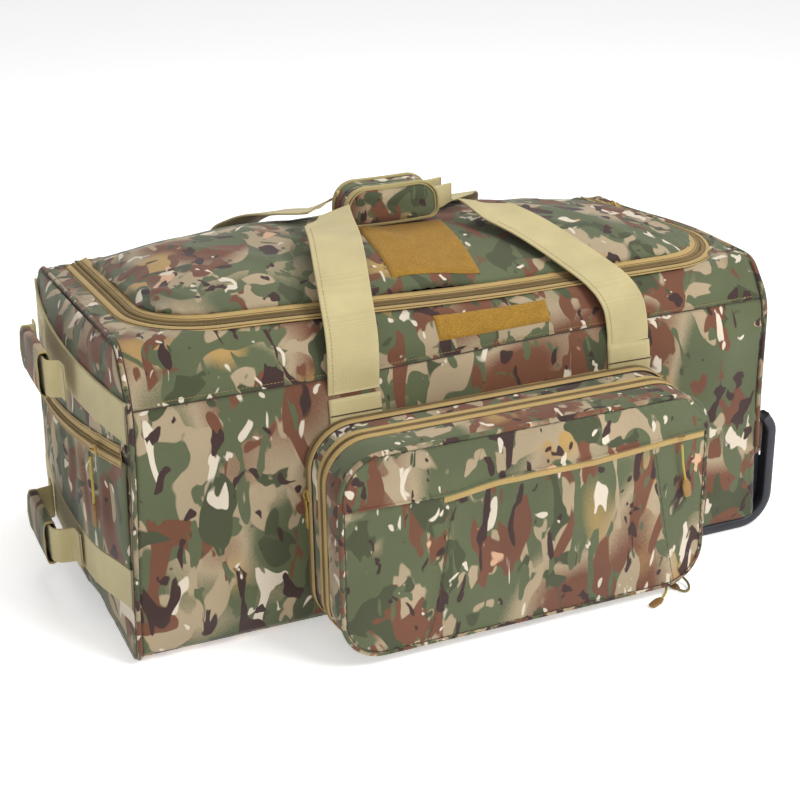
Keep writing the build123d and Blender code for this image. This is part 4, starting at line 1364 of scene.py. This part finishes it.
def closed_band(name, material, depth, proud, width, thick, body, limit=None, *replaced):
    half = width / 2
    profile = [(-half, 0), (-half, thick * 0.7), (-half + 0.0006, thick), (half - 0.0006, thick),
               (half, thick * 0.7),
               (half, 0)]
    strip = sweep(name, material, edge_rows(0.006, depth, proud, limit), profile, closed=limit is None)
    face_outwards(strip, Vector((POCKET_X, -depth, POCKET_MIDDLE_Z)))
    return place(strip, body, "zip_tape", *replaced)


gusset("pocket_gusset_back", CAMO_GUSSET, 0.2203, 0.2262, 0.0, "bag", "camo_canvas", "pocket_base")
gusset("pocket_gusset_mid", CAMO_GUSSET, 0.2225, 0.2722, -0.0006, "bag", "camo_canvas", folds=0.0022)
gusset("pocket_gusset_front", CAMO_GUSSET, 0.2752, 0.3240, 0.0, "pocket_front", "camo_canvas", folds=0.0026)

# rear zipper, all round the pocket where it meets the bag
closed_band("rear_zip_tape_a", TAPE, 0.2270, 0.0016, 0.0085, 0.0014, "bag", None, "pocket_rear_zip")
closed_band("rear_zip_tape_b", TAPE, 0.2405, 0.0030, 0.0080, 0.0014, "bag")
rows = edge_rows(0.0021, 0.2338, 0.0030)
place(join("rear_zip_coil", [teeth("a", COIL, rows, 0.0021, 0.0003, 0.0036, 0.0020),
                             teeth("b", COIL, rows, 0.0021, -0.0036, -0.0003, 0.0020)]), "bag", "zip_tape")
# the cover's zipper: its fixed half on the bag, its other half on the cover
FOLD = 0.026
closed_band("cover_zip_tape_bag", TAPE, 0.2665, 0.0020, 0.0080, 0.0014, "bag", FOLD, "pocket_zip_fixed")
closed_band("cover_zip_tape_cover", TAPE, 0.2808, 0.0020, 0.0080, 0.0014, "pocket_front", FOLD,
            "pocket_zip_cover")
rows = edge_rows(0.0021, 0.2737, 0.0018, FOLD)
bag_half = teeth("cover_zip_coil_bag", COIL, rows, 0.0021, -0.0036, -0.0004, 0.0022)
cover_half = teeth("cover_zip_coil_cover", COIL, rows, 0.0021, 0.0004, 0.0036, 0.0022)
place(bag_half, "bag", "zip_tape")
place(cover_half, "pocket_front", "zip_tape")
for name, depth, proud, body, limit in (("a", 0.2314, 0.0030, "bag", None), ("b", 0.2448, 0.0030, "bag", None),
                                        ("c", 0.2622, 0.0024, "bag", FOLD)):
    rows = edge_rows(0.006, depth, proud, limit)
    place(sweep(f"pocket_seam_{name}", DARK_THREAD, rows, circle(0.0005, 4), closed=limit is None), body,
          "zip_tape")

# the cover's face
FACE_ZIP_Z = 0.203
FACE_ZIP_LEFT = -0.088


def bulge(x, z):
    """How far the face swells at a point."""
    across = max(0.0, 1 - abs((x - POCKET_X) / POCKET_HALF) ** 3.2)
    tall = max(0.0, 1 - abs((z - 0.133) / 0.117) ** 2.8)
    swell = 0.0070 * across * tall
    swell += 0.0013 * across * tall * wave(x, z, 101, 0.06)
    swell += 0.0014 * across * tall * crease(x, z * 0.5, 103, 0.09)
    return swell


def face_half(z):
    """Half the face's width at a height, round corners included."""
    r = POCKET_R
    off = max(0.0, POCKET_LOW + r - z, z - (POCKET_TOP - r))
    return POCKET_HALF - r + math.sqrt(max(0.0, r * r - off * off))


def zip_line(x):
    """The face zipper's lip: level on the left, then a step up towards the right."""
    return 0.1935 + 0.0075 * smooth((x + 0.09) / 0.08) + 0.0050 * smooth((x - 0.07) / 0.14)


def left_seam(z):
    t = (z - POCKET_LOW) / (FACE_ZIP_Z - POCKET_LOW)
    return mix(-0.112, -0.080, t ** 0.55)


def right_seam(z):
    t = (z - POCKET_LOW) / (FACE_ZIP_Z - POCKET_LOW)
    return mix(0.206, 0.166, t ** 0.8)


def face_patch(name, material, left, right, low, high, columns, rows_count, lift=0.0):
    """A piece of the face between two edges x = left(z), right(z) and two heights z = low(x), high(x)."""
    def at(u, v):
        z_guess = mix(POCKET_LOW, POCKET_TOP, 0.5)
        x = mix(left(z_guess), right(z_guess), u)
        for _ in range(4):
            z = mix(low(x), high(x), v)
            x = mix(left(z), right(z), u)
        edge = min(x - left(z), right(z) - x, z - low(x), high(x) - z)
        seam = -0.0011 * math.exp(-max(0.0, edge) / 0.0022)
        pucker = 0.0006 * math.exp(-max(0.0, edge) / 0.007) * math.sin((x + z) * 520)
        return Vector((x, -POCKET_FACE - 0.0006 - bulge(x, z) + seam - pucker - lift, z))

    cloth = grid(name, material, at, columns, rows_count)
    face_outwards(cloth, Vector((POCKET_X, 0, POCKET_MIDDLE_Z)))
    return thicken(cloth, 0.0016, LINING)


def outline_left(z):
    return POCKET_X - face_half(z)


def outline_right(z):
    return POCKET_X + face_half(z)


def floor_of(x):
    return POCKET_LOW + 0.0006


def roof_of(x):
    return POCKET_TOP - 0.0006


def under_zip(x):
    return zip_line(x) - 0.0006 - 0.0046 * smooth((x - FACE_ZIP_LEFT) / 0.004)


def over_zip(x):
    return zip_line(x) + 0.0015
face_top = face_patch("face_top", CAMO_FACE_TOP, outline_left, outline_right, over_zip, roof_of, 130, 26,
                      0.0022)
face_left = face_patch("face_left", CAMO_FACE_SIDE, outline_left, left_seam, floor_of, under_zip, 44, 70)
face_mid = face_patch("face_mid", CAMO_FACE, left_seam, right_seam, floor_of, under_zip, 90, 70)
face_right = face_patch("face_right", CAMO_FACE_TOP, right_seam, outline_right, floor_of, under_zip, 30, 70)
place(face_mid, "pocket_front", "camo_canvas", "pocket_cover")
for piece in (face_top, face_left, face_right):
    place(piece, "pocket_front", "camo_canvas")


def on_face(x, z, out):
    return Vector((x, -POCKET_FACE - 0.0006 - bulge(x, z) - out, z))


for name, seam in (("left", left_seam), ("right", right_seam)):
    rows = []
    for i in range(61):
        z = mix(POCKET_LOW + 0.002, under_zip(seam(FACE_ZIP_Z)), i / 60)
        rows.append((on_face(seam(z), z, -0.0006), X, -Y))
    place(sweep(f"face_seam_{name}", DARK_THREAD, rows, circle(0.0009, 5)), "pocket_front", "camo_canvas")
    marks = []
    track = Track([on_face(seam(mix(POCKET_LOW + 0.004, 0.197, i / 60)) + 0.0035,
                           mix(POCKET_LOW + 0.004, 0.197, i / 60),
                           0.0004) for i in range(61)])
    for s in track.samples(0.0036):
        marks.append((track.at(s), track.direction(s), -Y))
    place(stitches(f"face_seam_{name}_stitches", DARK_THREAD, marks), "pocket_front", "camo_canvas")

zip_rows = []
for i in range(121):
    x = mix(FACE_ZIP_LEFT, outline_right(FACE_ZIP_Z) - 0.004, i / 120)
    z = zip_line(x) - 0.0028
    zip_rows.append((on_face(x, z, -0.0004), Z, -Y))
tape = sweep("face_zip_tape", TAPE, zip_rows,
             [(-0.0058, 0), (-0.0058, 0.0014), (-0.0050, 0.0022), (0.0060, 0.0022),
                                                (0.0060, 0)])
face_outwards(tape, Vector((POCKET_X, -POCKET_FACE - 0.004, FACE_ZIP_Z)))
place(tape, "pocket_front", "zip_tape", "face_zip")
lip = [(on_face(x, zip_line(x) + 0.0012, 0.0026), Z, -Y)
       for x in [mix(outline_left(FACE_ZIP_Z) + 0.002, outline_right(FACE_ZIP_Z) - 0.002,
                     i / 120) for i in range(121)]]
place(sweep("face_lip", CAMO_FACE_TOP, lip, circle(0.0016, 8)), "pocket_front", "camo_canvas")
# A thin dark line in the gap under the lip, in the dark thread's colour: a painted shadow of the lip.
lip_shadow = [(on_face(x, zip_line(x) - 0.0006, 0.0004), Z, -Y)
        for x in [mix(outline_left(FACE_ZIP_Z) + 0.003, outline_right(FACE_ZIP_Z) - 0.003,
                      i / 120) for i in range(121)]]
place(sweep("face_lip_painted_shadow", DARK_THREAD, lip_shadow, circle(0.0005, 6)), "pocket_front", "zip_tape")

# piping round the face
rows = edge_rows(0.005, POCKET_FACE - 0.0010, 0.0014)
pipe = sweep("pocket_pipe", CAMO_PIPE, rows, circle(0.0033, 10), closed=True)
face_outwards(pipe, Vector((POCKET_X, -POCKET_FACE, POCKET_MIDDLE_Z)))
place(pipe, "pocket_front", "camo_piping", "pocket_piping")
for name, depth, proud in (("outer", POCKET_FACE - 0.0045, 0.0006), ("inner", POCKET_FACE + 0.0015, -0.0016)):
    seam = sweep(f"pocket_pipe_seam_{name}", DARK_THREAD, edge_rows(0.005, depth, proud), circle(0.0006, 5),
                 closed=True)
    place(seam, "pocket_front", "camo_piping")

# the pocket's inside: a divider, plain and seldom seen
def divider_at(u, v):
    z = mix(POCKET_LOW + 0.003, POCKET_TOP - 0.003, v)
    x = POCKET_X + (2 * u - 1) * (face_half(z) - 0.003)
    return Vector((x, -0.2605 - 0.001 * wave(x, z, 111, 0.08), z))


divider = grid("pocket_divider", LINING, divider_at, 60, 40)
place(thicken(divider, 0.002), "bag", "camo_canvas")


# ---- small zipper hardware -----------------------------------------------------------------------
def slider_body(name, centre, along, across, up, scale=1.0):
    """A zipper slider: a waisted shoe with a bridge over it."""
    rows = []
    for i in range(9):
        t = i / 8
        w = (0.0046, 0.0054, 0.0056, 0.0050, 0.0046, 0.0044, 0.0042, 0.0040, 0.0034)[i] * scale
        rows.append((centre + along * (mix(-0.0058, 0.0058, t) * scale), w))
    verts = []
    for p, w in rows:
        for a, b in ((-w, 0.0), (-w, 0.0012), (-w * 0.7, 0.0022), (w * 0.7, 0.0022), (w, 0.0012), (w, 0.0)):
            verts.append(p + across * a + up * (b * scale))
    faces = [(0, 1, 2, 3, 4, 5), (53, 52, 51, 50, 49, 48)]
    for j in range(8):
        for i in range(6):
            k = (i + 1) % 6
            faces.append((j * 6 + i, (j + 1) * 6 + i, (j + 1) * 6 + k, j * 6 + k))
    shoe = add_object("shoe", verts, faces, ENAMEL)
    face_outwards(shoe, centre + up * 0.001)
    arch = Track([centre + along * (0.0040 * scale * math.cos(math.pi * i / 12))
                  + up * (0.0020 + 0.0028 * scale * math.sin(math.pi * i / 12)) for i in range(13)])
    bridge = sweep("bridge", ENAMEL, [(arch.at(s), across, arch.direction(s).cross(across))
                                      for s in arch.samples(0.0007)], circle(0.0009 * scale, 8))
    return join(name, [shoe, bridge])


def route_curve(name, points, radius, material):
    """A free cord: one open NURBS spline through its route's control points."""
    curve = bpy.data.curves.new(name, "CURVE")
    curve.dimensions = "3D"
    spline = curve.splines.new("NURBS")
    spline.points.add(len(points) - 1)
    for point, p in zip(spline.points, points):
        point.co = (p[0], p[1], p[2], 1.0)
    spline.order_u = 3
    spline.use_endpoint_u = True
    spline.resolution_u = 10
    curve.bevel_depth = radius
    curve.bevel_resolution = 4
    curve.use_fill_caps = True
    obj = bpy.data.objects.new(name, curve)
    bpy.context.scene.collection.objects.link(obj)
    curve.materials.append(material)
    return obj


def pull_tab(name, material, start, along, across, length, width, thick):
    """A moulded tab: a waist at the cord, flared shoulders, and finger ridges."""
    along = Vector(along).normalized()
    across = (Vector(across) - along * Vector(across).dot(along)).normalized()
    up = along.cross(across).normalized()
    shape = [(0.0, 0.45), (0.06, 0.62), (0.16, 0.70), (0.26, 0.92), (0.36, 1.0), (0.55, 0.98), (0.75, 0.94),
             (0.90, 0.84), (0.97, 0.62), (1.0, 0.38)]
    verts = []
    fine = 30
    n = 16
    for j in range(fine + 1):
        t = j / fine
        i = max(k for k in range(len(shape)) if shape[k][0] <= t + 1e-9)
        nxt = shape[min(i + 1, len(shape) - 1)]
        f = 0 if nxt[0] == shape[i][0] else (t - shape[i][0]) / (nxt[0] - shape[i][0])
        w = mix(shape[i][1], nxt[1], f)
        ridge = 0.92 + 0.08 * math.cos(t * 2 * math.pi * 7) if 0.35 < t < 0.9 else 1.0
        ends = math.sqrt(max(0.06, 1 - abs(2 * t - 1) ** 8))
        for k in range(n):
            turn = 2 * math.pi * k / n
            c, s = math.cos(turn), math.sin(turn)
            a = width / 2 * w * math.copysign(abs(c) ** 0.6, c)
            b = thick / 2 * ends * ridge * math.copysign(abs(s) ** 0.8, s) * (0.8 + 0.2 * w)
            verts.append(Vector(start) + along * (t * length) + across * a + up * b)
    faces = [tuple(range(n)), tuple(fine * n + i for i in reversed(range(n)))]
    for j in range(fine):
        for i in range(n):
            k = (i + 1) % n
            faces.append((j * n + i, (j + 1) * n + i, (j + 1) * n + k, j * n + k))
    tab = add_object(name, verts, faces, material)
    return face_outwards(tab, Vector(start) + along * (length / 2))


# each cord's route repeats the CAD model's, in metres
END_CORD = [(-0.4216, -0.163, 0.232), (-0.4222, -0.1635, 0.214), (-0.4216, -0.1645, 0.194),
            (-0.4222, -0.1625, 0.176)]
FACE_CORD = [(0.203, -0.3353, 0.196), (0.2044, -0.3356, 0.182), (0.2064, -0.3353, 0.167),
             (0.2102, -0.3356, 0.152)]
LOWER_CORD_A = [(0.208, -0.3017, 0.010), (0.207, -0.312, 0.0076), (0.203, -0.321, 0.0048),
                (0.196, -0.3285, 0.0032),
                (0.188, -0.334, 0.0022)]
LOWER_CORD_B = [(0.231, -0.3017, 0.010), (0.234, -0.312, 0.0072), (0.233, -0.323, 0.0044),
                (0.226, -0.3315, 0.0028),
                (0.219, -0.328, 0.0025), (0.218, -0.321, 0.0024)]
CORD_R = 0.0015
PULLS = (
    ("end_pull", END_CORD, CORD, TAB, (0, 0.1, -1), (0, 1, 0), 0.030, "end_zip_slider", "hanging", 0.0561),
    ("face_pull", FACE_CORD, CORD, TAB, (0.2, 0, -1), (1, 0, 0), 0.024, "face_zip_slider", "hanging", 0.0447),
    ("lower_pull_a", LOWER_CORD_A, CORD, TAB, (-1, -0.5, 0), (-0.5, 1, 0), 0.024, "lower_zip_sliders", "loose",
     0.0408),
    # This pull lies on the floor under the pocket: its cord and tab are the darker copies, painted shade.
    ("lower_pull_b", LOWER_CORD_B, SHADED_CORD, SHADED_TAB, (-0.14, 1, 0), (1, 0.14, 0), 0.020, "lower_zip_sliders",
     "loose", 0.0465),
)
for name, route, cord_look, tab_look, along, across, length, body, lay, cord_length in PULLS:
    stem, _, letter = name.partition("_pull")
    cord_node = f"{stem}_pull_cord{letter}"
    tab_node = f"{stem}_pull_tab{letter}"
    cord = route_curve(f"{name}_cord", route, CORD_R, cord_look)
    place(cord, body, "pull_cord", cord_node)
    start = Vector(route[-1]) - Vector(along).normalized() * 0.0015 + Z * (0.0007 if lay == "loose" else 0)
    tab = pull_tab(f"{name}_tab", tab_look, start, along, across, length, 0.0105, 0.0048)
    place(tab, body, "pull_tan", tab_node)
    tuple(route[0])

# sliders
low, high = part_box("face_slider")
centre = Vector(((low.x + high.x) / 2, high.y + 0.0002, 0.2035))
place(slider_body("face_slider_metal", centre, X, Z, -Y), "face_zip_slider", "slider_metal", "face_slider")
low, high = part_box("end_slider")
middle = (low + high) / 2
up = end_normal(middle.y, middle.z)
side = Vector((0, 1, ZIP_SLOPE)).normalized()
side = (side - up * side.dot(up)).normalized()
place(slider_body("end_slider_metal", middle - up * 0.0030, side, up.cross(side), up, 1.15), "end_zip_slider",
      "slider_metal", "end_slider")
shoes = []
low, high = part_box("lower_sliders")
for x in (low.x + 0.006, high.x - 0.006):
    shoes.append(slider_body("shoe", Vector((x, (low.y + high.y) / 2, high.z)), X, Y, -Z))
place(join("lower_sliders_metal", shoes), "lower_zip_sliders", "slider_metal", "lower_sliders")
low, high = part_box("gusset_slider")
shoe = slider_body("shoe", Vector((high.x - 0.0012, (low.y + high.y) / 2, high.z - 0.009)), Z, Y, -X, 1.2)
puller_path = [Vector((high.x - 0.0042 + 0.0012 * smooth(i / 5), (low.y + high.y) / 2,
                       high.z - 0.014 - 0.0036 * i))
               for i in range(11)]
frame_rows = [(p, Y, -X) for p in puller_path]
plate = sweep("plate", ENAMEL, frame_rows,
              [(-0.0038, 0), (-0.0038, 0.0012), (-0.0030, 0.0016), (0.0030, 0.0016),
                                            (0.0038, 0.0012), (0.0038, 0)])
face_outwards(plate, puller_path[5] - X * 0.0005)
place(join("gusset_slider_metal", [shoe, plate]), "gusset_zip_slider", "slider_metal", "gusset_slider")

# ---- wheel-end mouldings -------------------------------------------------------------------------
RAIL_R = 0.044
rails = []
for side in (-1, 1):
    y = side * 0.2136
    low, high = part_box("corner_rails")
    outer_x = high.x - 0.0066
    bend = RAIL_R - 0.0066
    route = round_corners([Vector((low.x, y, 0.0068)), Vector((outer_x, y, 0.0068)),
                           Vector((outer_x, y, 0.132)),
                           Vector((outer_x - 0.011, y, 0.148))], [0, bend, 0.02, 0], steps=14)
    track = Track(route)
    rows = []
    for s in track.samples(0.005):
        along = track.direction(s)
        rows.append((track.at(s), Y, along.cross(Y)))
    half_y, half_r = 0.0084, 0.0066
    profile = []
    for i in range(20):
        turn = 2 * math.pi * i / 20
        c, s_ = math.cos(turn), math.sin(turn)
        groove = 1 - 0.10 * math.exp(-(((turn - math.pi / 2) % math.pi) / 0.25) ** 2)
        profile.append((half_y * math.copysign(abs(c) ** 0.55, c),
                        half_r * groove * math.copysign(abs(s_) ** 0.55, s_)))
    rail = sweep("rail", RAIL, rows, profile)
    face_outwards(rail, track.at(track.length * 0.5) - X * 0.001)
    rails.append(rail)
place(join("corner_rails_moulded", rails), "bag", "dark_moulding", "corner_rails")


def housing_at(u, v):
    """The cloth-covered bulge over the top of the wheel housing, held in by the rails at its sides."""
    y = mix(-0.2185, 0.2185, u)
    z = mix(0.180, 0.098, v)
    between = smooth((0.2045 - abs(y)) / 0.005)
    rim = smooth((0.2190 - abs(y)) / 0.008)
    reach = mix(0.0180, 0.0290, between) * smooth(v / 0.65) * rim
    return Vector((0.3845 + reach + 0.0008 * wave(y, z, 121, 0.05), y, z))


hump = grid("housing_cloth", CAMO_RIGHT, housing_at, 170, 24)
face_outwards(hump, Vector((0, 0, 0.13)))
place(thicken(hump, 0.002, LINING), "bag", "camo_canvas", "housing_cover")


# ---- CAD nodes that are shown --------------------------------------------------------------------
SHOWN = {
    "base_wear_panel": MOULDING, "base_board": BOARD, "wheel_base": MOULDING, "base_screws": STEEL,
    "wheel_axles": STEEL, "outer_tubes": TUBE, "middle_tubes": TUBE, "inner_tubes": TUBE,
         "handle_cup": MOULDING,
    "handle_grip": MOULDING, "release_button": BUTTON, "wheel_hub_front": HUB, "wheel_hub_back": HUB,
    "wheel_tyre_front": TYRE, "wheel_tyre_back": TYRE,
}
for node_name, obj in nodes.items():
    obj.data.materials.clear()
    obj.data.materials.append(SHOWN.get(node_name, WEBBING))

# ---- floor, light and camera ---------------------------------------------------------------------
floor_material = Maker("floor_white", roughness=0.9, specular=0.1)
tint = floor_material.step(floor_material.noise(floor_material.coords, 3.0, 2.0), 0.3, 0.7, 0.985, 1.0)
floor_material.colour(floor_material.blend(1.0, rgb("fbfbfb"), tint, "MULTIPLY"))
FLOOR_REACH = 40.0
FLOOR_GLOW = 0.42
corners = [Vector((x * FLOOR_REACH, y * FLOOR_REACH, 0)) for x, y in ((-1, -1), (1, -1), (1, 1), (-1, 1))]
ground = add_object("floor", corners, [(0, 1, 2, 3)], floor_material.material, False)
floor_material.shader.inputs["Emission Color"].default_value = (1.0, 1.0, 1.0, 1.0)
floor_material.shader.inputs["Emission Strength"].default_value = FLOOR_GLOW

world = bpy.data.worlds.new("studio")
bpy.context.scene.world = world
world.use_nodes = True
world.node_tree.nodes["Background"].inputs["Color"].default_value = (1.0, 1.0, 1.0, 1.0)
world.node_tree.nodes["Background"].inputs["Strength"].default_value = 0.44


def area_light(name, place_at, target, size, power):
    data = bpy.data.lights.new(name, "AREA")
    data.shape = "DISK"
    data.size = size
    data.energy = power
    lamp = bpy.data.objects.new(name, data)
    lamp.location = place_at
    lamp.rotation_euler = (Vector(target) - Vector(place_at)).to_track_quat("-Z", "Y").to_euler()
    bpy.context.scene.collection.objects.link(lamp)


area_light("key", (0.9, -1.8, 2.2), (0, 0, 0.2), 1.1, 44)
area_light("fill", (-0.4, -2.5, 1.2), (0, 0, 0.2), 1.8, 9)
area_light("top", (0.2, 0.7, 2.6), (0, 0, 0.2), 1.6, 24)

CAMERA_AT = (-0.738, -1.7371, 0.9674)
CAMERA_LENS = 73.8
yaw, pitch, roll = math.radians(22.444), math.radians(-22.524), math.radians(-1.065)
forward = Vector((math.cos(pitch) * math.sin(yaw), math.cos(pitch) * math.cos(yaw), math.sin(pitch)))
level = Vector((math.cos(yaw), -math.sin(yaw), 0))
upright = level.cross(forward)
right = level * math.cos(roll) + upright * math.sin(roll)
up = upright * math.cos(roll) - level * math.sin(roll)
camera_data = bpy.data.cameras.new("camera")
camera_data.lens = CAMERA_LENS
camera_data.shift_x = 0.025
camera_data.shift_y = -0.025
camera = bpy.data.objects.new("camera", camera_data)
turned = Matrix((right, up, -forward)).transposed().to_4x4()
camera.matrix_world = Matrix.Translation(CAMERA_AT) @ turned
bpy.context.scene.collection.objects.link(camera)
bpy.context.scene.camera = camera
bpy.context.scene.view_settings.view_transform = "Standard"
